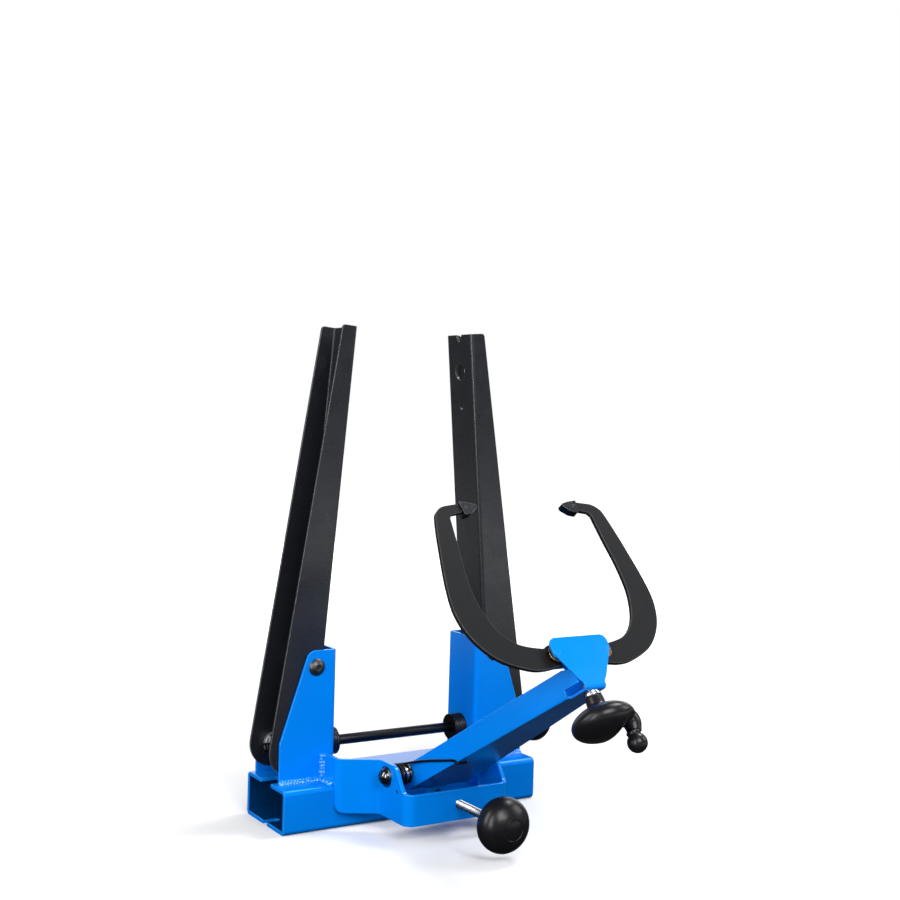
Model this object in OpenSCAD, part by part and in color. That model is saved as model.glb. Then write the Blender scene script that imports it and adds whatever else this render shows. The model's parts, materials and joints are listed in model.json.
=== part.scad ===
// Truing stand for a workbench. Two leaning uprights hold an axle between them,
// and one cross rod with right and left hand threads moves both of them. A sprung
// calliper arm at the front carries two fingers that close together.
// X runs along the axle, -Y is the front, +Z is up. The origin lies on the
// bench, midway between the uprights and straight under the axle.

/* [Base tube] */
// Length of the base tube
tube_len = 338; // [336:1:420]
// Depth of the base tube, front to back
tube_depth = 100; // [96:1:130]
// Height of the base tube
tube_h = 50; // [40:1:70]
// Wall of the base tube
tube_wall = 4.5; // [2.5:0.5:5]
// Outside corner radius of the base tube
tube_corner = 6; // [5.5:0.5:10]
// How far the middle of the tube lies to the left of the middle plane
tube_left = 2.5; // [0:0.5:3]
// How far the middle of the tube lies in front of the axle
tube_forward = 11.5; // [8:0.5:14]
// Width of the slot that takes a bench bolt
bench_slot_w = 11; // [8:0.5:14]
// Depth of the bench bolt slot, from the end of the tube
bench_slot_len = 18; // [14:1:30]
// Width of the tool slot in the top of the tube
tool_slot_w = 26; // [18:1:40]
// Depth of the tool slot, from the end of the tube
tool_slot_len = 28; // [20:1:45]

/* [Brackets] */
// Clear width between the webs of the two brackets
bracket_gap = 191.4; // [180:0.2:194]
// Plate thickness of a bracket
bracket_plate = 3.5; // [2.5:0.5:5]
// Depth of a bracket over its two flanges
bracket_depth = 66; // [58:1:70]
// Reach of a flange at its foot
bracket_reach = 69.3; // [62:0.1:70]
// Reach of a flange at its top
bracket_top_reach = 35; // [32:0.5:45]
// Height of a bracket above the tube
bracket_h = 148.4; // [144:0.2:165]
// Height of the upright stretch of a flange's outer edge
bracket_kink_h = 45; // [30:1:60]
// Outside bend radius of a bracket
bracket_bend = 6; // [5.5:0.5:10]
// Radius of the top outer corner of a flange
bracket_corner = 12; // [4:1:14]
// Leg of a weld bead
weld_leg = 6; // [3:0.5:7]

/* [Uprights] */
// Height of an upright's pivot above the tube
pivot_h = 129.2; // [120:0.2:132]
// Distance of the pivot outboard of the bracket's inner face
pivot_out = 25.7; // [24:0.1:27]
// Diameter of the pivot bolt
pivot_bolt_d = 10; // [8:0.5:11]
// Outside diameter of the pivot sleeve that an upright turns on
pivot_sleeve_d = 14; // [13:0.5:16]
// Diameter of the pivot bolt's button head
pivot_head_d = 20; // [17:0.5:21]
// Thickness of a thrust washer
thrust_washer_t = 1.2; // [0.8:0.1:2]
// Outside diameter of a thrust washer
thrust_washer_d = 26; // [22:0.5:30]
// Lean of an upright from the vertical, in degrees
upright_lean = 4.9; // [4:0.1:5.5]
// Length of an upright above its pivot
upright_top = 392; // [340:1:440]
// Sheet thickness of an upright
upright_sheet = 3; // [2:0.5:4]
// Outside bend radius of an upright
upright_bend = 5; // [4.5:0.5:8]
// Distance from an upright's inner face to its pivot axis
upright_web_in = 10.9; // [10:0.1:13]
// Width of an upright's flange at its top
upright_top_w = 19.7; // [16:0.1:30]
// Width of the axle notch
notch_w = 12; // [8:0.5:16]
// Depth of the axle notch
notch_depth = 8.5; // [6:0.5:14]
// Diameter of the through axle hole
axle_hole_d = 20.4; // [12:0.2:24]
// Distance of the through axle hole below the top
axle_drop = 45.5; // [36:0.5:60]
// Diameter of the small peg hole below it
peg_hole_d = 6; // [3:0.5:8]
// Distance of the peg hole below the top
peg_drop = 89; // [80:1:110]

/* [Cross rod] */
// Diameter of the cross rod
rod_d = 12; // [10:0.5:14]
// Height of the rod's axis above the tube
rod_h = 34.3; // [33:0.1:38]
// Distance of a trunnion nut outboard of the bracket's inner face
nut_out = 51.3; // [49:0.1:53]
// Width of a trunnion nut along the rod
nut_w = 16; // [12:0.5:20]
// Height of a trunnion nut
nut_h = 20; // [18:0.5:24]
// Diameter of a nut's trunnions
trunnion_d = 8; // [6:0.5:10]
// Diameter of the round shoulders at a nut's ends
shoulder_d = 25; // [20:0.5:28]
// Thickness of a nut's shoulders
shoulder_t = 7; // [4:0.5:9]
// Diameter of a rod collar
collar_d = 31.5; // [26:0.5:34]
// Length of a rod collar
collar_len = 15.5; // [10:0.5:20]
// Depth of the grooves round a collar
collar_groove = 0.5; // [0.3:0.1:1]
// Outside diameter of a rod bush
rod_bush_d = 18; // [16:0.5:20]
// Diameter of the width knob
width_knob_d = 60; // [50:1:64]
// Length of the width knob's head
width_knob_len = 36; // [28:1:44]

/* [Front strap] */
// Plate thickness of the strap
strap_plate = 4.5; // [3:0.5:6]
// Distance of the strap's rear legs outboard of the bracket's inner face
strap_leg_out = 15.3; // [12:0.1:20]
// Half width of the strap's front box
strap_half = 68; // [64:0.5:76]
// Distance of the front face from the tube
strap_front = 90; // [84:0.5:110]
// Distance of the first bend from the tube
strap_bend_a = 6.5; // [6:0.5:9]
// Distance of the second bend from the tube
strap_bend_b = 29; // [26:0.5:31]
// Height of the strap's lower edge above the bench
strap_low = 20; // [12:0.5:24]
// Height of the strap's side plates above the tube
strap_rise = 31; // [28:0.5:40]
// Height of the front plate's upper edge above the bench
strap_front_top = 54.5; // [50:0.5:60]
// Inside bend radius of the strap
strap_bend = 8; // [4:0.5:9]

/* [Calliper arm] */
// Distance of the arm's pivot in front of the tube
arm_pivot_fwd = 43.5; // [42:0.5:46]
// Height of the arm's pivot above the bench
arm_pivot_z = 65.5; // [64:0.5:70]
// Rise of the arm from the horizontal, in degrees
arm_angle = 30.3; // [24:0.1:36]
// Length of the arm's flanges past the pivot
arm_len = 304; // [270:1:340]
// Half width of the arm at its pivot
arm_half = 39.3; // [36:0.1:42]
// Half width of the arm at its far end
arm_end_half = 16.9; // [16.5:0.1:19]
// Sheet thickness of the arm
arm_sheet = 2.4; // [2:0.2:3.2]
// Distance from the arm's pivot to the outer face of its web
arm_web_low = 16.3; // [15.5:0.1:18]
// Height of a flange over the web at the pivot
arm_flange_h = 26.2; // [25:0.2:30]
// Growth of the flange's height along the arm
arm_flange_grow = 2; // [0:0.2:3]
// Width of the tail that the height screw pushes
tail_w = 28; // [22:1:40]
// Distance of the tail's front face behind the pivot
tail_back = 3; // [2:0.5:4]
// Diameter of the arm's pivot bolt
arm_bolt_d = 10; // [8:0.5:11]
// Diameter of the pivot bolt's domed head
arm_bolt_head_d = 20.5; // [16:0.5:21]
// Outside diameter of the spacer sleeves beside the arm
arm_spacer_d = 16; // [14:0.5:18]
// Outside diameter of the bushes in the arm
arm_bush_d = 14; // [13:0.5:15]

/* [Return spring] */
// Diameter of the spring wire
spring_wire = 3; // [2:0.1:3.4]
// Mean radius of the spring's curls
spring_r = 11.6; // [11:0.1:13]
// Number of whole curls, with half a curl more
spring_curls = 3; // [2:1:3]
// Step from one curl to the next
spring_pitch = 4; // [3.9:0.1:4.4]

/* [Calliper head] */
// Tilt of the head from square to the arm, in degrees
head_tilt = 7.6; // [5:0.1:10]
// Thickness of a finger
finger_t = 5; // [4:0.5:7]
// Half distance between the finger pivots
finger_x = 29; // [28:0.5:31]
// Height of the finger pivots in the head
finger_s = 12; // [11:0.5:13]
// Radius of a finger's hub
finger_hub_r = 12; // [11:0.5:13]
// Diameter of the finger pivot pins
finger_pin_d = 10; // [8:0.5:12]
// Thickness of the front bronze washers
front_washer_t = 5.2; // [3:0.2:6]
// Thickness of the rear bronze washers
rear_washer_t = 3.2; // [3:0.2:5]
// Diameter of the bronze washers
finger_washer_d = 17.5; // [17:0.5:23]
// Thickness of the head's rear plate
head_plate = 3; // [2:0.5:4]
// Half width of the head
head_half = 35; // [34:0.5:40]
// Height of the head's upper edge
head_top = 27.5; // [27:0.5:30]
// Half width of the tongue that folds up into the head's front plate
tongue_half = 12.5; // [11:0.5:14]
// Thickness of each cheek of a finger tip
tip_t = 2; // [1.5:0.5:3]

/* [Calliper crank] */
// Diameter of the calliper screw's threaded stretch
crank_screw_d = 8; // [6:0.5:9]
// Diameter of the calliper screw where it runs in its bush
crank_shaft_d = 10; // [9.5:0.5:11]
// Outside diameter of the bush that the calliper screw runs in
crank_bush_d = 14; // [13:0.5:15]
// Distance of the yoke's pins from the middle
yoke_pin_x = 9.5; // [9:0.1:10]
// Diameter of the yoke's pins
yoke_pin_d = 5; // [4:0.5:5.5]
// Diameter of the crank knob
crank_knob_d = 64; // [54:1:70]
// Height of the crank knob's dome
crank_knob_h = 33; // [26:1:36]
// Distance of the grip from the screw
grip_x = 30; // [26:0.5:34]
// Diameter of the grip's ball
grip_d = 20; // [16:0.5:24]

/* [Height screw] */
// Diameter of the height screw
height_screw_d = 9.5; // [8:0.5:11]
// Height of the screw's axis above the bench
height_z = 38; // [36:0.5:39]
// Length of bare screw in front of the strap
height_bare = 54; // [40:1:60]
// Diameter of the height knob
height_knob_d = 60; // [50:1:66]
// Length of the height knob's head
height_knob_len = 38; // [30:1:46]
// Diameter of the pad on the end of the screw
pad_d = 10; // [9:0.5:11]
// Length of the pad
pad_len = 9; // [8:0.5:11]

/* [Clearances] */
// Radial running clearance of a shaft in its bore
run = 0.05; // [0.02:0.01:0.1]
// Side clearance between pieces that move past each other
side = 0.3; // [0.2:0.05:0.4]
// Play of a trunnion across its slot
slot_play = 1.2; // [1:0.1:1.6]

/* [Hidden] */
$fn = 64;

// Colours
paint_blue = "#0a72d8";
satin_black = "#24262c";
finger_grey = "#37383b";
knob_black = "#1b1b1e";
oxide_black = "#2a2b2e";
zinc = "#b9bcc0";
bronze = "#b08d57";

// How far a cut runs past the face that it cuts
over = 1;

// Places of the base and the brackets
tube_x0 = -tube_left - tube_len / 2;
tube_x1 = -tube_left + tube_len / 2;
tube_front = -tube_forward - tube_depth / 2;
web_x = bracket_gap / 2;
flange_y = bracket_depth / 2;
bracket_inner = bracket_depth - 2 * bracket_plate;

// Places of the uprights and the rod
pivot_x = web_x + pivot_out;
pivot_z = tube_h + pivot_h;
upright_depth = bracket_inner - 2 * (thrust_washer_t + 2 * run);
rod_z = tube_h + rod_h;
nut_x = web_x + nut_out;
nut_dx = nut_x - pivot_x;
nut_dz = rod_z - pivot_z;
// The trunnion seen along the upright: across it, and along it
foot_u = nut_dx * cos(upright_lean) + nut_dz * sin(upright_lean);
foot_w = -nut_dx * sin(upright_lean) + nut_dz * cos(upright_lean);
foot_r = foot_u + upright_web_in;
foot_steps = 24;
slot_angle = atan2(nut_dx, -nut_dz);
// Travel of a trunnion along its slot, outwards and inwards from rest
slot_out = 4.8;
slot_in = 2.4;
// Travel of a nut along the rod when the uprights close
nut_travel = 13;
pivot_head_h = 5.5;
pivot_nut_h = 8;
hex_flats = 17;
hex_r = hex_flats / sqrt(3);

// Places of the width knob, clear of the uprights' swing
knob_gap = 3;
width_knob_x = nut_x + foot_r + nut_travel + knob_gap;
knob_neck_d = 22;
width_neck_x = nut_x + nut_w / 2 + nut_travel + 2 * knob_gap;
rod_x0 = -nut_x - nut_w / 2 - nut_travel - knob_gap;
rod_x1 = width_knob_x + width_knob_len / 3;
rod_bush_flange = 3;
rod_bush_flange_d = rod_bush_d + 6;
// Wide hole in an upright's web that clears the rod
rod_clear_gap = 16;
rod_clear_d = rod_d + rod_clear_gap;
set_screw_d = 5;

// Places of the strap
strap_leg_x = web_x + strap_leg_out;
strap_y = tube_front - strap_front;
bend_a_y = tube_front - strap_bend_a;
bend_b_y = tube_front - strap_bend_b;
strap_turn = atan2(strap_leg_x - strap_half, strap_bend_b - strap_bend_a);
strap_miter = strap_plate * tan(strap_turn / 2);
strap_top = tube_h + strap_rise;
strap_inner_x = strap_half - strap_plate;
// Where the side plates slope down to the front plate, behind the front face
strap_slope_front = 9;
strap_slope_back = 28.5;
strap_slope_r = 14;
strap_corner = 14;

// Places of the arm
arm_y = tube_front - arm_pivot_fwd;
arm_taper = (arm_half - arm_end_half) / arm_len;
arm_flange_top = arm_flange_h - arm_web_low;
arm_bush_flange = 2.5;
arm_bush_flange_d = arm_bush_d + 7;
arm_nut_h = 8;
arm_washer_t = 1.5;
arm_face_x = arm_half + arm_bush_flange;
tail_drop = 10;
// Notch that frees the tongue from the end of a flange, along the arm and square to it
relief_len = 13;
relief_h = 9;
// Nose of a flange: its top below the fingers, and its gap to the head's front plate
nose_s = -5;
nose_gap = 0.6;
arm_head_h = 7.5;
arm_rim_h = 1.5;

// The head's own frame: x along X, y up the head's plates, z towards the front.
// Its origin lies in the front face of the fingers, over the end of the arm.
head_u = arm_len + 2.2;
head_v = arm_flange_top + arm_flange_grow;
head_y = arm_y - head_u * cos(arm_angle) + head_v * sin(arm_angle);
head_z = arm_pivot_z + head_u * sin(arm_angle) + head_v * cos(arm_angle);
head_angle = 90 - arm_angle - head_tilt;
head_back = front_washer_t + side;
head_front = head_back + arm_sheet;
rear_front = -finger_t - rear_washer_t - side;
rear_back = rear_front - head_plate;
crank_n = -finger_t / 2;
// The rear plate: its stem between the arm's flanges, and how far it lies inside the front plate
stem_back = 20;
stem_play = 1.6;
stem_len = 14;
stem_shoulder = 2.6;
rear_tuck = 6;
rear_inset = 1;
// The fold that turns the arm's web up into the head's front plate
fold_r = 4;
fold_v = fold_r - arm_web_low;
fold_n = head_front - fold_r;
fold_s = (fold_v - head_v - fold_n * sin(head_tilt)) / cos(head_tilt);
fold_u = head_u + fold_n * cos(head_tilt) - fold_s * sin(head_tilt);
// Where the crank's axis meets the inner and the outer face of the web
web_in_s = (arm_sheet - arm_web_low - head_v - crank_n * sin(head_tilt)) / cos(head_tilt);
web_out_s = (-arm_web_low - head_v - crank_n * sin(head_tilt)) / cos(head_tilt);

// Places along the crank's axis, downwards from the head
crank_bush_top = web_in_s + 2;
crank_bush_low = web_out_s - 2.5;
crank_washer_t = 2.5;
screw_collar_t = 4;
crank_neck_gap = 0.6;
crank_neck_top = crank_bush_low - crank_washer_t - 2 * side - crank_neck_gap;
crank_neck_len = 9.4;
crank_dome_top = crank_neck_top - crank_neck_len;
crank_dome_low = crank_dome_top - crank_knob_h;
crank_neck_d = 19;
crank_lobe_d = 22;
crank_lobe_h = 14;
// How far the calliper screw and the grip's pin reach into the knob
crank_knob_depth = 18;
grip_pin_depth = 7;
grip_pin_d = 5;
grip_neck_top = crank_dome_low + 4;
grip_ball_s = grip_neck_top - 0.6 * grip_d;
screw_top = finger_s + 1;

// Sizes of the fingers and the yoke
tail_gap = crank_screw_d / 2 + 2;
finger_tail_h = 13;
yoke_block_top = finger_s - finger_tail_h / 2 - 3.5;
yoke_low = yoke_block_top - 14;
yoke_half = 12.4;
yoke_cheek = 2.2;
yoke_cheek_top = finger_s + 3.5;
finger_outer = [[24, 1], [47, -2], [66, 1], [93, 13], [113, 35], [122.5, 62],
    [122, 92], [115, 135], [107, 172], [102.5, 181], [95, 186.2], [86, 188], [75, 189.6]];
finger_inner = [[89.5, 172.5], [92, 140], [95, 108], [94, 76], [84, 46], [66, 28],
    [40, 21], [27, 22]];
finger_heel = [[72.9, 179.4], [77.3, 178.2], [86.3, 176.5]];
tongue_end = 63;
tongue_low = 180.8;
tongue_high = 187.6;
tip_outline = [[74.4, 190.8, 1], [62.5, 189.2, 8], [54.6, 186.9, 1.5], [55, 183, 1.5],
    [63.4, 176.6, 8], [71.6, 174.9, 1]];
tip_screw_at = [68, 184.2];
tip_screw_d = 3;
tip_screw_head_d = 5.5;
tip_screw_head_h = 1.8;

// Places along the height screw, from the tail to the front
tail_front_y = arm_y + tail_back;
pad_gap = 0.4;
pad_nose_r = 3;
pad_y1 = tail_front_y - pad_gap;
pad_y0 = pad_y1 - pad_len;
pad_pin_d = 6;
pad_pin_len = 4;
height_neck_y = strap_y - height_bare;
height_neck_len = 16;
height_neck_d = 20;
height_knob_y = height_neck_y - height_neck_len;
// How far the height screw reaches into the head of its knob
height_knob_depth = 12;
height_nut_h = 9;

// The spring's own places: its curls lie round the arm's bolt, on the left
spring_x0 = -strap_inner_x + spring_wire + side;
spring_ring = 8;
spring_sides = 6;
spring_turns = spring_curls + 0.5;
spring_x1 = spring_x0 + spring_turns * spring_pitch;
spring_hole_fwd = 23;
spring_hole_y = arm_y - spring_hole_fwd;
spring_hole_z = arm_pivot_z - spring_r;
spring_hole_d = spring_wire + 1;
spring_leg_gap = 0.6;
spring_leg_u = 95;
spring_hook_len = 12;

// General helpers

function unit(v) = v / norm(v);

// Arc that rounds the corner p between a and b
function corner(a, p, b, r, steps) =
    let (u = unit(a - p), w = unit(b - p),
        half = acos(u * w) / 2,
        c = p + unit(u + w) * r / sin(half),
        from = p + u * r / tan(half) - c,
        to = p + w * r / tan(half) - c,
        a0 = atan2(from.y, from.x),
        turn = atan2(to.y, to.x) - a0,
        sweep = turn > 180 ? turn - 360 : turn < -180 ? turn + 360 : turn)
    [for (k = [0:steps]) c + r * [cos(a0 + sweep * k / steps), sin(a0 + sweep * k / steps)]];

// Outline whose points are [x, y] or, where the corner is round, [x, y, r]
function rounded(pts, steps = 8) =
    [for (i = [0:len(pts) - 1])
        let (n = len(pts),
            p = pts[i],
            a = pts[(i + n - 1) % n],
            b = pts[(i + 1) % n])
        each p[2] == undef ? [[p.x, p.y]]
            : corner([a.x, a.y], [p.x, p.y], [b.x, b.y], p[2], steps)];

// Smooth curve through the points
function curve(pts, steps = 6) =
    let (n = len(pts))
    [for (i = [0:n - 2], k = [0:steps - (i == n - 2 ? 0 : 1)])
        let (t = k / steps,
            a = pts[max(i - 1, 0)],
            b = pts[i],
            c = pts[i + 1],
            d = pts[min(i + 2, n - 1)])
        0.5 * (2 * b + (c - a) * t + (2 * a - 5 * b + 4 * c - d) * t * t
            + (3 * b - a - 3 * c + d) * t * t * t)];

module rounded_rect(w, h, r) {
    square([w - 2 * r, h], center = true);
    square([w, h - 2 * r], center = true);
    for (x = [-1, 1], y = [-1, 1])
        translate([x * (w / 2 - r), y * (h / 2 - r)])
            circle(r);
}

// Section of a folded channel, web on the left, open to the right
module channel_blank(depth, reach, bend) {
    translate([0, bend - depth / 2])
        square([reach, depth - 2 * bend]);
    translate([bend, -depth / 2])
        square([reach - bend, depth]);
    for (y = [-1, 1])
        translate([bend, y * (depth / 2 - bend)])
            circle(bend);
}

module channel(depth, reach, sheet, bend) {
    difference() {
        channel_blank(depth, reach, bend);
        translate([sheet, 0])
            channel_blank(depth - 2 * sheet, reach, bend - sheet);
    }
}

module bar_x(x0, x1, d) {
    translate([x0, 0, 0])
        rotate([0, 90, 0])
            cylinder(d = d, h = x1 - x0);
}

module bar_y(y0, y1, d) {
    translate([0, y0, 0])
        rotate([-90, 0, 0])
            cylinder(d = d, h = y1 - y0);
}

// Ring or tube along X
module tube_x(x0, x1, d, bore) {
    difference() {
        bar_x(x0, x1, d);
        bar_x(x0 - over, x1 + over, bore);
    }
}

// Both sides of the stand, from a shape drawn on the right
module both_sides() {
    children();
    mirror([1, 0, 0])
        children();
}

// Outline drawn in Y and Z, given its length along X
module side_plate(x0, x1) {
    translate([x0, 0, 0])
        rotate([90, 0, 90])
            linear_extrude(x1 - x0)
                children();
}

// Outline drawn in X and Z, given its length along Y about the axle's plane
module front_plate(length) {
    rotate([90, 0, 0])
        linear_extrude(length, center = true)
            children();
}

// Frame of the arm: x to the left, y along the arm, z square to its web
module in_arm() {
    translate([0, arm_y, arm_pivot_z])
        rotate([-arm_angle, 0, 0])
            rotate([0, 0, 180])
                children();
}

module in_head() {
    translate([0, head_y, head_z])
        rotate([head_angle, 0, 0])
            children();
}

// Frame of the crank: z along its axis, up the head
module in_crank() {
    in_head()
        translate([0, 0, crank_n])
            rotate([-90, 0, 0])
                children();
}

module button_head(d, h, socket) {
    difference() {
        intersection() {
            cylinder(d = d, h = h);
            translate([0, 0, h - d * 0.62])
                sphere(d * 0.62);
        }
        translate([0, 0, h * 0.45])
            cylinder(d = socket, h = h, $fn = 6);
    }
}

// Turned knob along z: a neck, then a mushroom head of diameter d
module knob_body(d, length, neck_d, neck_len) {
    rim = length * 0.42;
    back = length * 0.25;
    profile = concat([[0, 0], [neck_d / 2, 0], [neck_d / 2, neck_len - 3],
        [neck_d / 2 + 2, neck_len]],
        [for (k = [0:5]) [d / 2 - back + back * sin(k * 18),
            neck_len + rim - rim * cos(k * 18) * 0.9]],
        [for (k = [1:9]) [d / 2 * cos(k * 10), neck_len + rim + (length - rim) * sin(k * 10)]]);
    rotate_extrude()
        polygon(profile);
}

// Base and frame

module base_tube() {
    color(paint_blue)
        difference() {
            translate([0, -tube_forward, tube_h / 2])
                side_plate(tube_x0, tube_x1)
                    difference() {
                        rounded_rect(tube_depth, tube_h, tube_corner);
                        rounded_rect(tube_depth - 2 * tube_wall, tube_h - 2 * tube_wall,
                            tube_corner - tube_wall);
                    }
            for (end = [[tube_x0, 1], [tube_x1, -1]])
                translate([end[0], -tube_forward, 0]) {
                    end_slot(end[1], bench_slot_w, bench_slot_len, 0);
                    end_slot(end[1], tool_slot_w, tool_slot_len, tube_h - tube_wall);
                }
        }
}

// Slot with a round inner end, cut from an end of the tube through one wall
module end_slot(inward, w, length, z) {
    translate([0, 0, z - over])
        linear_extrude(tube_wall + 2 * over) {
            translate([inward * (length - w / 2), 0])
                circle(d = w);
            translate([inward * (length - w / 2 - over) / 2, 0])
                square([length - w / 2 + over, w], center = true);
        }
}

module bracket() {
    outline = rounded([[0, 0], [bracket_reach, 0], [bracket_reach, bracket_kink_h, 10],
        [bracket_top_reach, bracket_h, bracket_corner], [0, bracket_h]]);
    color(paint_blue)
        difference() {
            translate([web_x, 0, tube_h])
                intersection() {
                    linear_extrude(bracket_h)
                        channel(bracket_depth, bracket_reach, bracket_plate, bracket_bend);
                    front_plate(bracket_depth + 2 * over)
                        polygon(outline);
                }
            translate([pivot_x, 0, pivot_z])
                bar_y(-flange_y - over, flange_y + over, pivot_bolt_d + 2 * run);
            translate([0, 0, rod_z])
                bar_x(web_x - over, web_x + bracket_plate + over, rod_bush_d + 2 * run);
        }
}

module left_bracket() {
    mirror([1, 0, 0])
        bracket();
}

module right_bracket() {
    bracket();
}

// Plan of one face of the strap, from the right rear leg round to the left one
function strap_face(inset) =
    let (m = inset == 0 ? 0 : strap_miter,
        tight = strap_bend + (inset == 0 ? strap_plate : 0),
        wide = strap_bend + strap_plate - (inset == 0 ? strap_plate : 0),
        half = [[strap_leg_x - inset, -flange_y], [strap_leg_x - inset, bend_a_y + m, tight],
            [strap_half - inset, bend_b_y + m, wide], [strap_half - inset, strap_y + inset, tight]])
    concat(half, [for (i = [len(half) - 1:-1:0]) concat([-half[i].x, half[i].y],
        half[i][2] == undef ? [] : [half[i][2]])]);

module front_strap() {
    side_view = rounded([[-flange_y, tube_h], [tube_front, tube_h], [tube_front, strap_low, strap_corner],
        [strap_y - over, strap_low], [strap_y - over, strap_front_top],
        [strap_y + strap_slope_front, strap_front_top, strap_bend],
        [strap_y + strap_slope_back, strap_top, strap_slope_r], [-flange_y, strap_top]]);
    color(paint_blue)
        difference() {
            intersection() {
                linear_extrude(strap_top)
                    difference() {
                        polygon(rounded(strap_face(0)));
                        polygon(rounded(strap_face(strap_plate)));
                    }
                side_plate(-strap_leg_x - over, strap_leg_x + over)
                    polygon(side_view);
            }
            translate([0, arm_y, arm_pivot_z])
                bar_x(-strap_half - over, strap_half + over, arm_bolt_d + 2 * run);
            translate([0, 0, height_z])
                bar_y(strap_y - over, strap_y + strap_plate + over, height_screw_d + 2 * side);
            translate([0, spring_hole_y, spring_hole_z])
                bar_x(-strap_half - over, -strap_inner_x + over, spring_hole_d);
        }
}

// Straight fillet bead from one point to another, filling a corner that opens
// towards the directions a and b
module bead(from, to, a, b) {
    rows = [a, b, unit(to - from)];
    multmatrix([for (i = [0:2]) [rows[0][i], rows[1][i], rows[2][i], from[i]]])
        linear_extrude(norm(to - from))
            polygon([[0, 0], [weld_leg, 0], [0, weld_leg]]);
}

module weld_beads() {
    foot_x = web_x + bracket_reach - 2;
    start_x = strap_leg_x + weld_leg;
    color(paint_blue)
        both_sides() {
            // Feet of the bracket's front flange and of its web
            bead([start_x, -flange_y, tube_h], [foot_x, -flange_y, tube_h], [0, 0, 1], [0, -1, 0]);
            bead([web_x, bracket_bend - flange_y, tube_h], [web_x, flange_y - bracket_bend, tube_h],
                [-1, 0, 0], [0, 0, 1]);
            // Rear leg of the strap, on the bracket and on the tube's top
            bead([strap_leg_x, -flange_y, strap_top - 3], [strap_leg_x, -flange_y, tube_h + weld_leg],
                [1, 0, 0], [0, -1, 0]);
            bead([strap_leg_x, -flange_y - weld_leg, tube_h],
                [strap_leg_x, tube_front + tube_corner, tube_h], [1, 0, 0], [0, 0, 1]);
        }
}

// Uprights and what moves them

module upright() {
    top = [upright_top_w - upright_web_in, upright_top];
    to_top = top - [foot_u, foot_w];
    tangent = atan2(to_top.y, to_top.x) - acos(foot_r / norm(to_top));
    low = foot_w - foot_r;
    reach = foot_u + foot_r + upright_web_in;
    color(satin_black)
        translate([pivot_x, 0, pivot_z])
            difference() {
                rotate([0, -upright_lean, 0])
                    difference() {
                        intersection() {
                            translate([-upright_web_in, 0, low])
                                linear_extrude(upright_top - low)
                                    channel(upright_depth, reach, upright_sheet, upright_bend);
                            front_plate(upright_depth + 2 * over)
                                polygon(concat(rounded([[-upright_web_in, foot_w],
                                    [-upright_web_in, upright_top], [top.x, top.y, 4],
                                    foot_at(tangent)]),
                                    [for (k = [1:foot_steps - 1])
                                        foot_at(tangent - (180 + tangent) * k / foot_steps)]));
                        }
                        upright_web_holes();
                    }
                bar_y(-flange_y, flange_y, pivot_sleeve_d + 2 * run);
                rotate([0, -slot_angle, 0])
                    translate([0, 0, -norm([nut_dx, nut_dz])])
                        trunnion_slot();
            }
}

// Point on the round foot of an upright, in the direction of an angle
function foot_at(angle) = [foot_u + foot_r * cos(angle), foot_w + foot_r * sin(angle)];

// Axle notch, through axle hole, peg hole and the wide hole that clears the rod
module upright_web_holes() {
    web = [-upright_web_in - over, -upright_web_in + upright_bend + over];
    side_plate(web[0], web[1])
        polygon([[-notch_w / 2, upright_top + over], [-notch_w / 2, upright_top],
            [-1, upright_top - notch_depth], [1, upright_top - notch_depth],
            [notch_w / 2, upright_top], [notch_w / 2, upright_top + over]]);
    translate([0, 0, upright_top - axle_drop])
        bar_x(web[0], web[1], axle_hole_d);
    translate([0, 0, upright_top - peg_drop])
        bar_x(web[0], web[1], peg_hole_d);
    translate([0, 0, foot_w])
        bar_x(web[0], web[1], rod_clear_d);
}

module trunnion_slot() {
    w = trunnion_d + slot_play;
    translate([0, 0, slot_in])
        bar_y(-flange_y, flange_y, w);
    translate([0, 0, -slot_out])
        bar_y(-flange_y, flange_y, w);
    translate([0, 0, (slot_in - slot_out) / 2])
        cube([w, bracket_depth, slot_in + slot_out], center = true);
}

module left_upright() {
    mirror([1, 0, 0])
        upright();
}

module right_upright() {
    upright();
}

module pivot_bolts() {
    color(oxide_black)
        both_sides()
            translate([pivot_x, 0, pivot_z]) {
                bar_y(-flange_y, flange_y + pivot_nut_h + 2, pivot_bolt_d);
                translate([0, -flange_y, 0])
                    rotate([90, 0, 0])
                        button_head(pivot_head_d, pivot_head_h, pivot_bolt_d * 0.75);
            }
}

module pivot_nuts() {
    color(oxide_black)
        both_sides()
            translate([pivot_x, flange_y, pivot_z])
                rotate([-90, 0, 0])
                    difference() {
                        cylinder(r = hex_r, h = pivot_nut_h, $fn = 6);
                        translate([0, 0, -over])
                            cylinder(d = pivot_bolt_d + 2 * run, h = pivot_nut_h + 2 * over);
                    }
}

module pivot_sleeves() {
    color(zinc)
        both_sides()
            translate([pivot_x, 0, pivot_z])
                difference() {
                    bar_y(-bracket_inner / 2, bracket_inner / 2, pivot_sleeve_d);
                    bar_y(-flange_y, flange_y, pivot_bolt_d + 2 * run);
                }
}

module thrust_washers() {
    color(bronze)
        both_sides()
            for (y = [-1, 1])
                translate([pivot_x, y * (bracket_inner - thrust_washer_t - 2 * run) / 2, pivot_z])
                    difference() {
                        bar_y(-thrust_washer_t / 2, thrust_washer_t / 2, thrust_washer_d);
                        bar_y(-thrust_washer_t, thrust_washer_t, pivot_sleeve_d + 2 * run);
                    }
}

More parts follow.
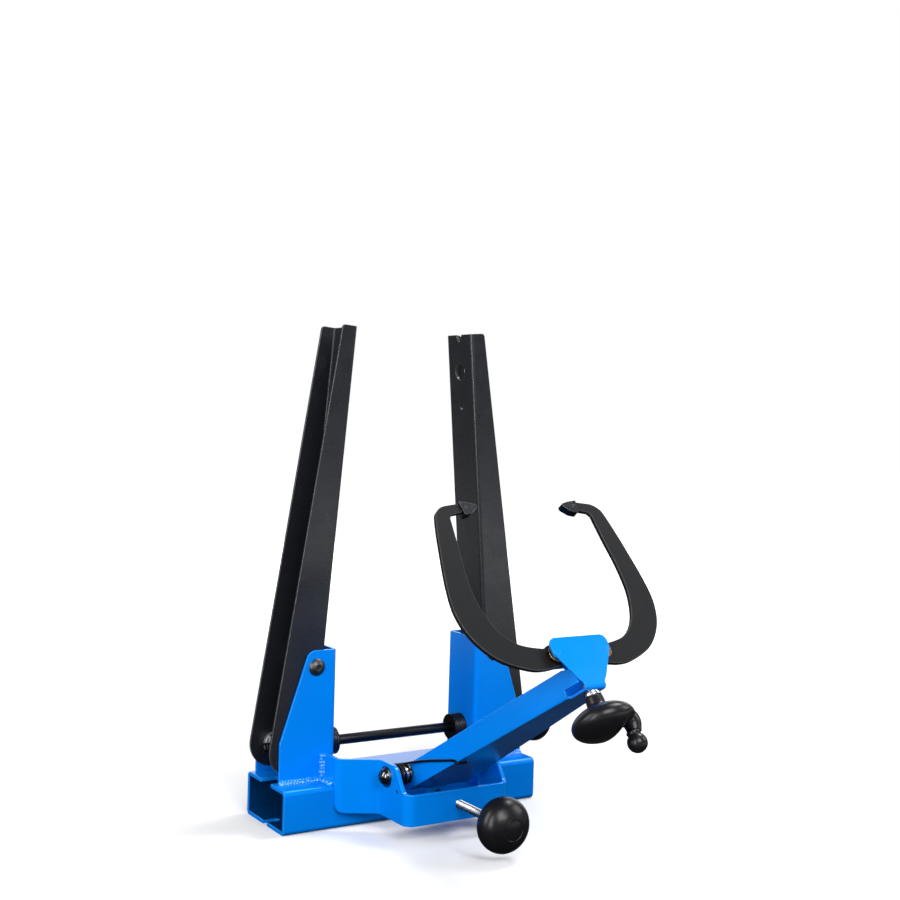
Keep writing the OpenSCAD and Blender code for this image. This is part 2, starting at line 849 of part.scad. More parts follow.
module cross_rod() {
    chamfer = 1;
    color(oxide_black)
        translate([0, 0, rod_z]) {
            bar_x(rod_x0 + chamfer, rod_x1, rod_d);
            translate([rod_x0, 0, 0])
                rotate([0, 90, 0])
                    cylinder(d1 = rod_d - 2 * chamfer, d2 = rod_d, h = chamfer);
        }
}

module rod_collars() {
    grooves = 6;
    x1 = web_x - side;
    x0 = x1 - collar_len;
    color(oxide_black)
        both_sides()
            translate([0, 0, rod_z])
                difference() {
                    tube_x(x0, x1, collar_d, rod_d + 2 * run);
                    for (i = [1:grooves])
                        translate([x0 + i * collar_len / (grooves + 1), 0, 0])
                            tube_x(-collar_groove / 2, collar_groove / 2, collar_d + 2 * over,
                                collar_d - 2 * collar_groove);
                    translate([(x0 + x1) / 2, 0, 0])
                        cylinder(d = set_screw_d + 2 * run, h = collar_d);
                }
}

module collar_screws() {
    height = (collar_d - rod_d) / 2 - 2 * collar_groove;
    color(zinc)
        both_sides()
            translate([web_x - side - collar_len / 2, 0, rod_z + rod_d / 2 + run])
                difference() {
                    cylinder(d = set_screw_d, h = height);
                    translate([0, 0, height - 2.5])
                        cylinder(d = set_screw_d * 0.55, h = 3, $fn = 6);
                }
}

module rod_bushes() {
    x1 = web_x + bracket_plate;
    color(bronze)
        both_sides()
            translate([0, 0, rod_z])
                difference() {
                    union() {
                        bar_x(web_x, x1 + rod_bush_flange, rod_bush_d);
                        bar_x(x1, x1 + rod_bush_flange, rod_bush_flange_d);
                    }
                    bar_x(web_x - over, x1 + rod_bush_flange + over, rod_d + 2 * run);
                }
}

module width_knob() {
    color(knob_black)
        translate([0, 0, rod_z])
            difference() {
                translate([width_neck_x, 0, 0])
                    rotate([0, 90, 0])
                        knob_body(width_knob_d, width_knob_len, knob_neck_d,
                            width_knob_x - width_neck_x);
                bar_x(width_neck_x - over, rod_x1 + side, rod_d + 2 * run);
            }
}

// Nut that runs on the rod and carries an upright's foot on two trunnions
module trunnion_nut() {
    length = upright_depth - 2 * upright_sheet - 4 * side;
    color(zinc)
        translate([nut_x, 0, rod_z])
            difference() {
                union() {
                    cube([nut_w, length, nut_h], center = true);
                    bar_y(-length / 2, shoulder_t - length / 2, shoulder_d);
                    bar_y(length / 2 - shoulder_t, length / 2, shoulder_d);
                    bar_y(-upright_depth / 2, upright_depth / 2, trunnion_d);
                }
                bar_x(-nut_w, nut_w, rod_d + 2 * run);
            }
}

module left_trunnion_nut() {
    mirror([1, 0, 0])
        trunnion_nut();
}

module right_trunnion_nut() {
    trunnion_nut();
}

// Calliper arm and its pivot

module arm_pivot_bolt() {
    dome_r = arm_bolt_head_d * 0.53;
    color(oxide_black)
        translate([0, arm_y, arm_pivot_z]) {
            bar_x(-strap_half, strap_half + arm_washer_t + arm_nut_h + 2, arm_bolt_d);
            translate([-strap_half, 0, 0])
                rotate([0, -90, 0]) {
                    cylinder(d = arm_bolt_head_d + 2 * arm_rim_h, h = arm_rim_h);
                    intersection() {
                        cylinder(d = arm_bolt_head_d - 1, h = arm_rim_h + arm_head_h);
                        translate([0, 0, arm_rim_h + arm_head_h - dome_r])
                            sphere(dome_r);
                    }
                }
        }
}

module arm_pivot_nut() {
    color(oxide_black)
        translate([strap_half, arm_y, arm_pivot_z]) {
            tube_x(0, arm_washer_t, arm_bolt_head_d, arm_bolt_d + 2 * run);
            translate([arm_washer_t, 0, 0])
                rotate([0, 90, 0])
                    difference() {
                        cylinder(r = hex_r, h = arm_nut_h, $fn = 6);
                        translate([0, 0, -over])
                            cylinder(d = arm_bolt_d + 2 * run, h = arm_nut_h + 2 * over);
                    }
        }
}

module arm_spacers() {
    color(zinc)
        both_sides()
            translate([0, arm_y, arm_pivot_z])
                tube_x(arm_face_x + side, strap_inner_x, arm_spacer_d, arm_bolt_d + 2 * run);
}

// Flanged bushes in the arm's two flanges
module arm_bushes() {
    color(bronze)
        both_sides()
            translate([0, arm_y, arm_pivot_z])
                difference() {
                    union() {
                        bar_x(arm_half - 2 * arm_sheet, arm_face_x, arm_bush_d);
                        bar_x(arm_half + 1, arm_face_x, arm_bush_flange_d);
                    }
                    bar_x(0, arm_face_x + over, arm_bolt_d + 2 * run);
                }
}

function arm_half_at(u) = arm_half - arm_taper * u;

// Outline of a flange, along the arm and square to its web
function flange_outline() =
    let (tail_u = -arm_web_low, flange_v = arm_flange_top, top_v = head_v,
        relief_v = relief_h - arm_web_low, nose_n = head_back - nose_gap,
        nose_top = head_point(nose_s, nose_n),
        nose_low = head_point(head_meet(relief_v, nose_n), nose_n))
    rounded([[tail_u, -arm_web_low, 10], [tail_u, flange_v, 9], [arm_len - 10, top_v - 0.2],
        [nose_top.x, nose_top.y, 2], nose_low,
        [arm_len - relief_len, relief_v], [arm_len - relief_len, -arm_web_low]]);

module arm_flange() {
    translate([arm_half, 0, 0])
        rotate([0, 0, atan(arm_taper)])
            side_plate(-arm_sheet, 0)
                polygon(flange_outline());
}

// Front plate of the head, the turned up end of the arm's web: its right side, then its left
function head_outline(low) =
    let (waist = tongue_half + 4.5, neck_s = -22.5, waist_s = -17, cheek_s = 13,
        half = [[tongue_half, low], [tongue_half, neck_s, 2], [waist, waist_s, 4],
            [head_half, cheek_s, 10], [head_half, head_top, 8]])
    rounded(concat(half, [for (i = [len(half) - 1:-1:0]) concat([-half[i].x, half[i].y],
        half[i][2] == undef ? [] : [half[i][2]])]));

// Point of the head's side view in the arm's frame, s up the head and n to its front
function head_point(s, n) =
    [head_u + n * cos(head_tilt) - s * sin(head_tilt), head_v + n * sin(head_tilt) + s * cos(head_tilt)];

// Height in the head where a line along the web, at v, meets a plate face at n
function head_meet(v, n) = (v - head_v - n * sin(head_tilt)) / cos(head_tilt);

// Point of the stand's side view in the arm's frame
function arm_point(y, z) =
    let (dy = y - arm_y, dz = z - arm_pivot_z)
    [dz * sin(arm_angle) - dy * cos(arm_angle), dy * sin(arm_angle) + dz * cos(arm_angle)];

// Height where a line along the web, at v, crosses an upright plane at y
function arm_meet(v, y) = arm_pivot_z + (v - (y - arm_y) * sin(arm_angle)) / cos(arm_angle);

// Side view of the folded sheet: the tail, the web, the fold and the head's front plate
function sheet_profile() =
    let (inner_v = arm_sheet - arm_web_low,
        tail_rear_y = tail_front_y + arm_sheet,
        tail_low = height_z - tail_drop,
        tail_outer = arm_point(tail_rear_y, arm_meet(inner_v, tail_rear_y)),
        tail_inner = arm_point(tail_front_y, arm_meet(-arm_web_low, tail_front_y)),
        outer = head_point(head_meet(-arm_web_low, head_front), head_front),
        inner = head_point(head_meet(inner_v, head_back), head_back),
        top = head_top + over)
    rounded([[tail_inner.x, tail_inner.y, fold_r - arm_sheet], [outer.x, outer.y, fold_r],
        head_point(top, head_front), head_point(top, head_back),
        [inner.x, inner.y, fold_r - arm_sheet], [tail_outer.x, tail_outer.y, fold_r],
        arm_point(tail_rear_y, tail_low), arm_point(tail_front_y, tail_low)]);

module caliper_arm() {
    web_start = -arm_web_low + 8;
    web_inset = 0.4;
    web_end = arm_len - relief_len + web_inset;
    web_high = 3 * arm_web_low;
    half = [[tail_w / 2, -web_high], [tail_w / 2, web_start],
        [arm_half_at(web_start) - web_inset, web_start],
        [arm_half_at(web_end) - web_inset, web_end], [tongue_half, web_end],
        [tongue_half, fold_u + 2 * fold_r]];
    color(paint_blue)
        difference() {
            union() {
                intersection() {
                    in_arm()
                        side_plate(-arm_half, arm_half)
                            polygon(sheet_profile());
                    union() {
                        in_arm()
                            translate([0, 0, -web_high])
                                linear_extrude(web_high)
                                    polygon(concat(half, [for (i = [len(half) - 1:-1:0])
                                        [-half[i].x, half[i].y]]));
                        in_head()
                            linear_extrude(head_front + over)
                                polygon(head_outline(fold_s));
                    }
                }
                in_arm()
                    both_sides()
                        arm_flange();
            }
            translate([0, arm_y, arm_pivot_z])
                bar_x(-arm_half - over, arm_half + over, arm_bush_d + 2 * run);
            in_crank()
                translate([0, 0, web_out_s - 6])
                    cylinder(d = crank_bush_d + 2 * run, h = web_in_s - web_out_s + 9);
            in_head()
                for (x = [-1, 1])
                    translate([x * finger_x, finger_s, head_back - over])
                        cylinder(d = finger_pin_d / 2 + 2 * run, h = arm_sheet + 2 * over);
        }
}

// Rear plate of the head: a stem between the arm's flanges and a wide top
module head_rear_plate() {
    stem = arm_half_at(arm_len - stem_back) - arm_sheet - stem_play;
    half = [[stem, -stem_len], [stem, stem_shoulder], [head_half - rear_tuck, stem_shoulder, 4],
        [head_half - rear_inset, head_top - rear_inset, 8]];
    outline = rounded(concat([for (p = half) concat([-p.x, p.y], p[2] == undef ? [] : [p[2]])],
        [for (i = [len(half) - 1:-1:0]) half[i]]));
    color(paint_blue)
        in_head()
            difference() {
                translate([0, 0, rear_back])
                    linear_extrude(head_plate)
                        polygon(outline);
                for (x = [-1, 1])
                    translate([x * finger_x, finger_s, rear_back - over])
                        cylinder(d = finger_pin_d / 2 + 2 * run, h = head_plate + 2 * over);
            }
}

// Shouldered pins, their thin ends set in the two plates and painted with them
module finger_pins() {
    color(paint_blue)
        in_head()
            for (x = [-1, 1])
                translate([x * finger_x, finger_s, 0]) {
                    translate([0, 0, rear_front])
                        cylinder(d = finger_pin_d, h = head_back - rear_front);
                    translate([0, 0, rear_back])
                        cylinder(d = finger_pin_d / 2, h = head_front - rear_back);
                }
}

module finger_washers() {
    front = [side / 2, front_washer_t];
    rear = [-finger_t - side / 2 - rear_washer_t, rear_washer_t];
    color(bronze)
        in_head()
            for (x = [-1, 1], at = [front, rear])
                translate([x * finger_x, finger_s, at[0]])
                    difference() {
                        cylinder(d = finger_washer_d, h = at[1]);
                        translate([0, 0, -over])
                            cylinder(d = finger_pin_d + 2 * run, h = at[1] + 2 * over);
                    }
}

// Bowed finger with a hub on its pin, a forked tail for the yoke and a tongue for its tip
module finger() {
    slot_h = yoke_pin_d + 2 * side;
    slot_end = yoke_pin_x + yoke_pin_d / 2 + 1.6;
    tongue = [[74.6, tongue_high], [tongue_end, tongue_high], [tongue_end, tongue_low],
        [73.2, tongue_low]];
    color(finger_grey)
        in_head()
            translate([0, 0, -finger_t])
                linear_extrude(finger_t)
                    difference() {
                        union() {
                            polygon(concat(curve(finger_outer), tongue, finger_heel,
                                curve(finger_inner)));
                            translate([finger_x, finger_s])
                                circle(finger_hub_r);
                            translate([tail_gap, finger_s - finger_tail_h / 2])
                                square([finger_x - tail_gap, finger_tail_h]);
                        }
                        translate([finger_x, finger_s])
                            circle(d = finger_pin_d + 2 * run);
                        translate([tail_gap - over, finger_s - slot_h / 2])
                            square([slot_end - tail_gap + over, slot_h]);
                        translate(tip_screw_at)
                            circle(d = tip_screw_d + 2 * run);
                    }
}

module left_finger() {
    mirror([1, 0, 0])
        finger();
}

module right_finger() {
    finger();
}

// Blunt tip, slotted to fit over the finger's tongue
module finger_tip() {
    slot_len = 15;
    slot_h = tongue_high - tongue_low + 2 * run;
    color(oxide_black)
        in_head()
            difference() {
                translate([0, 0, -finger_t - tip_t])
                    linear_extrude(finger_t + 2 * tip_t)
                        difference() {
                            polygon(rounded(tip_outline));
                            translate(tip_screw_at)
                                circle(d = tip_screw_d + 2 * run);
                        }
                translate([tongue_end - run, tongue_low - run, -finger_t - run])
                    cube([slot_len, slot_h, finger_t + 2 * run]);
            }
}

module left_finger_tip() {
    mirror([1, 0, 0])
        finger_tip();
}

module right_finger_tip() {
    finger_tip();
}

module tip_screw() {
    color(oxide_black)
        in_head()
            translate([tip_screw_at.x, tip_screw_at.y, -finger_t - tip_t]) {
                cylinder(d = tip_screw_d, h = finger_t + 2 * tip_t);
                rotate([180, 0, 0])
                    button_head(tip_screw_head_d, tip_screw_head_h, tip_screw_d * 0.6);
            }
}

module left_tip_screw() {
    mirror([1, 0, 0])
        tip_screw();
}

module right_tip_screw() {
    tip_screw();
}

// Calliper crank, on the axis that runs down the head

module caliper_screw() {
    shaft_top = crank_bush_top + side + screw_collar_t;
    shaft_low = crank_neck_top - crank_knob_depth;
    color(zinc)
        in_crank() {
            translate([0, 0, shaft_low])
                cylinder(d = crank_shaft_d, h = shaft_top - shaft_low);
            translate([0, 0, shaft_top])
                cylinder(d = crank_screw_d, h = screw_top - shaft_top);
        }
}

module crank_bush() {
    length = crank_bush_top - crank_bush_low;
    color(zinc)
        in_crank()
            translate([0, 0, crank_bush_low])
                difference() {
                    cylinder(d = crank_bush_d, h = length);
                    translate([0, 0, -over])
                        cylinder(d = crank_shaft_d + 2 * run, h = length + 2 * over);
                }
}

// Ring on the calliper screw, from the height s
module crank_ring(s, thickness, d) {
    color(zinc)
        in_crank()
            translate([0, 0, s])
                difference() {
                    cylinder(d = d, h = thickness);
                    translate([0, 0, -over])
                        cylinder(d = crank_shaft_d + 2 * run, h = thickness + 2 * over);
                }
}

module crank_washer() {
    crank_ring(crank_bush_low - side - crank_washer_t, crank_washer_t, crank_bush_d + 3);
}

module screw_collar() {
    crank_ring(crank_bush_top + side, screw_collar_t, crank_shaft_d + 5);
}

module crank_knob() {
    color(knob_black)
        in_crank()
            difference() {
                union() {
                    translate([0, 0, crank_neck_top])
                        rotate([180, 0, 0])
                            knob_body(crank_knob_d, crank_knob_h, crank_neck_d, crank_neck_len);
                    translate([grip_x, 0, grip_neck_top])
                        cylinder(d = crank_lobe_d, h = crank_lobe_h);
                }
                translate([0, 0, crank_neck_top - crank_knob_depth - side])
                    cylinder(d = crank_shaft_d + 2 * run, h = crank_knob_depth + 2 * over);
                translate([grip_x, 0, grip_neck_top - over])
                    cylinder(d = grip_pin_d + 2 * run, h = grip_pin_depth + 2 * over);
            }
}

module crank_grip() {
    neck_d = 11;
    bore_top = grip_neck_top - side;
    color(knob_black)
        in_crank()
            translate([grip_x, 0, 0])
                difference() {
                    union() {
                        translate([0, 0, grip_ball_s])
                            sphere(d = grip_d);
                        translate([0, 0, grip_ball_s])
                            cylinder(d = neck_d, h = bore_top - grip_ball_s);
                    }
                    translate([0, 0, grip_ball_s])
                        cylinder(d = grip_pin_d + 2 * run, h = grip_d);
                }
}

module grip_pin() {
    color(zinc)
        in_crank()
            translate([grip_x, 0, grip_ball_s + side])
                cylinder(d = grip_pin_d, h = grip_neck_top + grip_pin_depth - grip_ball_s);
}

// Yoke nut on the calliper screw, with cheeks on both sides of the fingers' tails
module caliper_yoke() {
    low_n = -finger_t - side - yoke_cheek;
    high_n = side + yoke_cheek;
    color(zinc)
        in_head()
            difference() {
                union() {
                    translate([-yoke_half, yoke_low, low_n])
                        cube([2 * yoke_half, yoke_block_top - yoke_low, high_n - low_n]);
                    for (n = [low_n, side])
                        translate([-yoke_half, yoke_block_top - over, n])
                            cube([2 * yoke_half, yoke_cheek_top - yoke_block_top + over, yoke_cheek]);
                }
                translate([0, yoke_low - over, crank_n])
                    rotate([-90, 0, 0])
                        cylinder(d = crank_screw_d + 2 * run, h = yoke_cheek_top - yoke_low + 2 * over);
                for (x = [-1, 1])
                    translate([x * yoke_pin_x, finger_s, low_n - over])
                        cylinder(d = yoke_pin_d + 2 * run, h = high_n - low_n + 2 * over);
            }
}

module yoke_pins() {
    low_n = -finger_t - side - yoke_cheek;
    high_n = side + yoke_cheek;
    color(zinc)
        in_head()
            for (x = [-1, 1])
                translate([x * yoke_pin_x, finger_s, low_n])
                    cylinder(d = yoke_pin_d, h = high_n - low_n);
}

// Height screw

module height_screw() {
    color(zinc)
        translate([0, 0, height_z]) {
            bar_y(height_knob_y - height_knob_depth, pad_y0, height_screw_d);
            bar_y(pad_y0 - over, pad_y0 + pad_pin_len, pad_pin_d);
        }
}

module height_knob() {
    color(knob_black)
        translate([0, height_neck_y, height_z])
            difference() {
                rotate([90, 0, 0])
                    knob_body(height_knob_d, height_knob_len, height_neck_d, height_neck_len);
                bar_y(-height_neck_len - height_knob_depth - side, over, height_screw_d + 2 * run);
            }
}

module height_nut() {
    color(paint_blue)
        translate([0, strap_y + strap_plate, height_z])
            rotate([-90, 0, 0])
                difference() {
                    cylinder(r = hex_r, h = height_nut_h, $fn = 6);
                    translate([0, 0, -over])
                        cylinder(d = height_screw_d + 2 * run, h = height_nut_h + 2 * over);
                }
}

// Pad that stays still while the screw turns in it, with a round nose for the tail
module height_pad() {
    nose_y = pad_y1 - pad_nose_r;
    color(oxide_black)
        translate([0, 0, height_z])
            difference() {
                union() {
                    bar_y(pad_y0 + run, nose_y + side, pad_d);
                    translate([0, nose_y, 0])
                        sphere(pad_nose_r);
                }
                bar_y(pad_y0 - over, pad_y0 + pad_pin_len + run, pad_pin_d + 2 * run);
            }
}

// Return spring: one wire from its hole in the strap, round the bolt and along the arm

// A point beside the arm, u along it and v square to its web
function beside_arm(x, u, v) =
    [x, arm_y - u * cos(arm_angle) + v * sin(arm_angle),
        arm_pivot_z + u * sin(arm_angle) + v * cos(arm_angle)];

spring_curl = [for (k = [0:spring_turns * spring_ring])
    let (a = k * 360 / spring_ring)
    [spring_x0 + spring_pitch * k / spring_ring, arm_y + spring_r * sin(a),
        arm_pivot_z - spring_r * cos(a)]];
spring_leg_x = arm_half_at(spring_leg_u) + spring_wire / 2 + spring_leg_gap;
spring_hook_v = -arm_web_low - spring_wire / 2 - spring_leg_gap;
spring_path = concat(
    [for (k = [0:1]) [-strap_half + 0.5 + k * spring_wire, spring_hole_y, spring_hole_z]],
    [[spring_x0 - 0.6, spring_hole_y + 3.2, spring_hole_z], [spring_x0, arm_y - 9, spring_hole_z]],
    spring_curl,
    [beside_arm(-spring_leg_x - 5, 34, 4), beside_arm(-spring_leg_x - 1.5, 70, -7),
        beside_arm(-spring_leg_x, spring_leg_u - 6, -13),
        beside_arm(-spring_leg_x + 0.8, spring_leg_u, spring_hook_v + 0.6),
        beside_arm(-spring_leg_x + 4, spring_leg_u + 1, spring_hook_v),
        beside_arm(-spring_leg_x + spring_hook_len - spring_wire, spring_leg_u + 1, spring_hook_v),
        beside_arm(-spring_leg_x + spring_hook_len, spring_leg_u + 1, spring_hook_v)]);

function tangent_at(path, i) = unit(path[min(i + 1, len(path) - 1)] - path[max(i - 1, 0)]);

// Direction square to the path, carried along it without twist
function carried(n, t) = unit(n - (n * t) * t);

// One closed tube of the given radius along a path
module tube_along(path, r, sides) {
    last = len(path) - 1;
    normals = [for (i = 0, n = carried([0, 0, 1], tangent_at(path, 0)); i <= last;
        i = i + 1, n = carried(n, tangent_at(path, min(i, last)))) n];
    rings = [for (i = [0:last])
        let (across = cross(tangent_at(path, i), normals[i]))
        for (k = [0:sides - 1])
            path[i] + r * (cos(k * 360 / sides) * normals[i] + sin(k * 360 / sides) * across)];
    walls = [for (i = [0:last - 1], k = [0:sides - 1])
        let (a = i * sides + k,
            b = i * sides + (k + 1) % sides)
        each [[a, b + sides, b], [a, a + sides, b + sides]]];
    ends = [for (k = [1:sides - 2])
        each [[0, k, k + 1], [last * sides, last * sides + k + 1, last * sides + k]]];
    polyhedron(rings, concat(walls, ends));
}

// Least gap between stretches of the wire that lie at least half a curl apart
spring_gap = min([for (i = [0:len(spring_path) - 1], j = [0:len(spring_path) - 1])
    if (j - i >= spring_ring / 2) norm(spring_path[i] - spring_path[j])]) - spring_wire;
echo(spring_least_gap_mm = spring_gap);

module return_spring() {
    color(oxide_black)
        tube_along(spring_path, spring_wire / 2, spring_sides);
}

base_tube();
left_bracket();
right_bracket();
front_strap();
weld_beads();
left_upright();
right_upright();
pivot_bolts();
pivot_nuts();
pivot_sleeves();
thrust_washers();
cross_rod();
rod_collars();
collar_screws();
rod_bushes();
width_knob();
left_trunnion_nut();
right_trunnion_nut();
arm_pivot_bolt();
arm_pivot_nut();
arm_spacers();
arm_bushes();
return_spring();
caliper_arm();
head_rear_plate();
finger_pins();
finger_washers();
left_finger();
right_finger();
left_finger_tip();
right_finger_tip();
left_tip_screw();
right_tip_screw();
caliper_screw();
crank_bush();
crank_washer();
screw_collar();
crank_knob();
crank_grip();
grip_pin();
caliper_yoke();
yoke_pins();
height_screw();
height_knob();
height_nut();
height_pad();
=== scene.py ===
"""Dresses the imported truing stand: coated steel, welds, spun knobs, threads, a wound spring and a studio."""

import json
import math

import bmesh
import bpy
from bpy.props import FloatProperty, FloatVectorProperty, IntProperty, PointerProperty
from mathutils import Matrix, Vector

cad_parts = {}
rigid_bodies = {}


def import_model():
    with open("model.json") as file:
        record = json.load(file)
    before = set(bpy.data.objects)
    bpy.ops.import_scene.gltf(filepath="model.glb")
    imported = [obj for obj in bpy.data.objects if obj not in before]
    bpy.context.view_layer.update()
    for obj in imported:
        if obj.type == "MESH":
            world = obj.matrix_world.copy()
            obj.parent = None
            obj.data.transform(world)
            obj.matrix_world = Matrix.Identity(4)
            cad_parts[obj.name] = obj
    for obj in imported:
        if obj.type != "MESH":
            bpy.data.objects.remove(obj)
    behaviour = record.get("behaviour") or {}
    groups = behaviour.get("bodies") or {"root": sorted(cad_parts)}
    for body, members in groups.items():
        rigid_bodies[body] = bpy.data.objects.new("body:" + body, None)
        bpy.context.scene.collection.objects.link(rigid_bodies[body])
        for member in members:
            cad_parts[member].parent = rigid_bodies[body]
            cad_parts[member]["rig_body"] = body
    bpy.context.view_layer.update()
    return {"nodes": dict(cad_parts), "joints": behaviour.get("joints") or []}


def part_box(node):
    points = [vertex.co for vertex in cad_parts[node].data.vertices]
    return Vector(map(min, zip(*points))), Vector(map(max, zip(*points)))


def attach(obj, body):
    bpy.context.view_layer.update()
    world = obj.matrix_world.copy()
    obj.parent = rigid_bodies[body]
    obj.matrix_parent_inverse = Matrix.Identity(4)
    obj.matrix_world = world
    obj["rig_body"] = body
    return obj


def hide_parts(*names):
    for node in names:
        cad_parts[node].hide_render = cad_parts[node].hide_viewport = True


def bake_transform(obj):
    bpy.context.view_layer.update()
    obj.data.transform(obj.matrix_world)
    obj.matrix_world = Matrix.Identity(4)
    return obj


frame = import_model()

bl_info = {
    "name": "Truing Stand",
    "version": (1, 0, 0),
    "blender": (4, 5, 0),
    "location": "View3D > Sidebar > Truing Stand",
    "description": "Dresses a packed truing stand with coated steel, welds, knobs, threads and a spring",
    "category": "Object",
}

MM = 0.001
SAME_POINT = 0.002 * MM
THREAD_DEPTH = 0.55 * MM
UP = Vector((0, 0, 1))


def linear(code):
    """Linear colour of an sRGB hex code."""
    parts = [int(code[i:i + 2], 16) / 255 for i in (1, 3, 5)]
    return [c / 12.92 if c <= 0.04045 else ((c + 0.055) / 1.055) ** 2.4 for c in parts]


class StandFinishes(bpy.types.PropertyGroup):
    """Colours of the stand's finishes."""

    blue_coat: FloatVectorProperty(
        name="Blue coat", description="Powder coat of the base, the arm and the head",
        subtype="COLOR", size=3, min=0, max=1, default=linear("#0080ea"))
    black_coat: FloatVectorProperty(
        name="Black coat", description="Powder coat of the two uprights",
        subtype="COLOR", size=3, min=0, max=1, default=linear("#1a1c21"))
    finger_coat: FloatVectorProperty(
        name="Finger coat", description="Matte coat of the two fingers",
        subtype="COLOR", size=3, min=0, max=1, default=linear("#131416"))
    knob_black: FloatVectorProperty(
        name="Knob plastic", description="Moulded plastic of the knobs and the crank",
        subtype="COLOR", size=3, min=0, max=1, default=linear("#121215"))
    oxide: FloatVectorProperty(
        name="Black oxide", description="Blackened steel of the rod, collars, bolts and tips",
        subtype="COLOR", size=3, min=0, max=1, default=linear("#313236"))
    zinc: FloatVectorProperty(
        name="Zinc plate", description="Plated steel of the screws and nuts",
        subtype="COLOR", size=3, min=0, max=1, default=linear("#c9ccd1"))
    bronze: FloatVectorProperty(
        name="Bronze", description="Turned bushes and washers",
        subtype="COLOR", size=3, min=0, max=1, default=linear("#8d7048"))


class StandSizes(bpy.types.PropertyGroup):
    """Sizes of the details that the dressing adds."""

    sheet_edge: FloatProperty(
        name="Sheet edge", description="Rounding on the cut edges of the plates",
        subtype="DISTANCE", unit="LENGTH", default=0.6 * MM, min=0.1 * MM, max=1.2 * MM)
    small_edge: FloatProperty(
        name="Small edge", description="Rounding on bolts, nuts, washers and tips",
        subtype="DISTANCE", unit="LENGTH", default=0.35 * MM, min=0.1 * MM, max=0.8 * MM)
    bend: FloatProperty(
        name="Arm bend", description="Outside radius of the folds along the arm",
        subtype="DISTANCE", unit="LENGTH", default=2.6 * MM, min=1 * MM, max=4 * MM)
    ripple: FloatProperty(
        name="Weld ripple", description="Distance from one ripple of a weld to the next",
        subtype="DISTANCE", unit="LENGTH", default=3.6 * MM, min=2 * MM, max=5 * MM)
    thread: FloatProperty(
        name="Thread pitch", description="Pitch of the thread drawn on the screws and the rod",
        subtype="DISTANCE", unit="LENGTH", default=1.5 * MM, min=1 * MM, max=3 * MM)
    wire: FloatProperty(
        name="Spring wire", description="Diameter of the return spring's wire",
        subtype="DISTANCE", unit="LENGTH", default=3.0 * MM, min=2 * MM, max=3.4 * MM)
    around: IntProperty(
        name="Steps around", description="Steps round a spun piece",
        default=72, min=24, max=128)


class StandStudio(bpy.types.PropertyGroup):
    """Camera and light of the studio."""

    eye: FloatVectorProperty(
        name="Camera place", description="Where the camera stands",
        subtype="TRANSLATION", unit="LENGTH", size=3, default=(-0.7997, -1.3819, 0.4662))
    yaw: FloatProperty(
        name="Turn", description="Turn of the view to the right of straight ahead",
        subtype="ANGLE", unit="ROTATION", default=math.radians(32.17))
    pitch: FloatProperty(
        name="Dip", description="Dip of the view below level",
        subtype="ANGLE", unit="ROTATION", default=math.radians(1.37))
    roll: FloatProperty(
        name="Roll", description="Roll of the camera about its view",
        subtype="ANGLE", unit="ROTATION", default=math.radians(1.62))
    lens: FloatProperty(
        name="Lens", description="Focal length on a sensor 36 mm wide",
        subtype="DISTANCE_CAMERA", unit="CAMERA", default=53.16)
    floor: FloatVectorProperty(
        name="Floor", description="Colour of the floor",
        subtype="COLOR", size=3, min=0, max=1, default=linear("#f4f4f5"))
    bounce: FloatProperty(
        name="Bounce", description="Share of its light that the floor throws back on the stand",
        subtype="FACTOR", default=0.03, min=0, max=1)
    room: FloatProperty(
        name="Room", description="Share of its light that the floor far from the stand throws back",
        subtype="FACTOR", default=0.6, min=0, max=1)
    light: FloatProperty(
        name="Light", description="Strength of the soft lights together",
        default=1.0, min=0.1, max=4)


def add(tree, kind, links=None, **settings):
    """Adds a node with its settings, and sets or links its inputs by name or place."""
    node = tree.nodes.new(kind)
    for key, value in settings.items():
        setattr(node, key, value)
    for key, value in (links or {}).items():
        if isinstance(value, bpy.types.NodeSocket):
            tree.links.new(value, node.inputs[key])
        else:
            node.inputs[key].default_value = value
    return node


def blank(name):
    """An empty material, its node tree and its shader."""
    material = bpy.data.materials.new(name)
    material.use_nodes = True
    tree = material.node_tree
    tree.nodes.clear()
    shader = add(tree, "ShaderNodeBsdfPrincipled")
    add(tree, "ShaderNodeOutputMaterial", {"Surface": shader.outputs["BSDF"]})
    return material, tree, shader


def grain(size):
    """Texture scale of a pattern whose features are this long, in metres."""
    return 1 / size


def rgba(colour, share=1.0):
    """A share of a colour, no brighter than white, in the form that a colour socket takes."""
    return (*[min(1, c * share) for c in colour], 1)


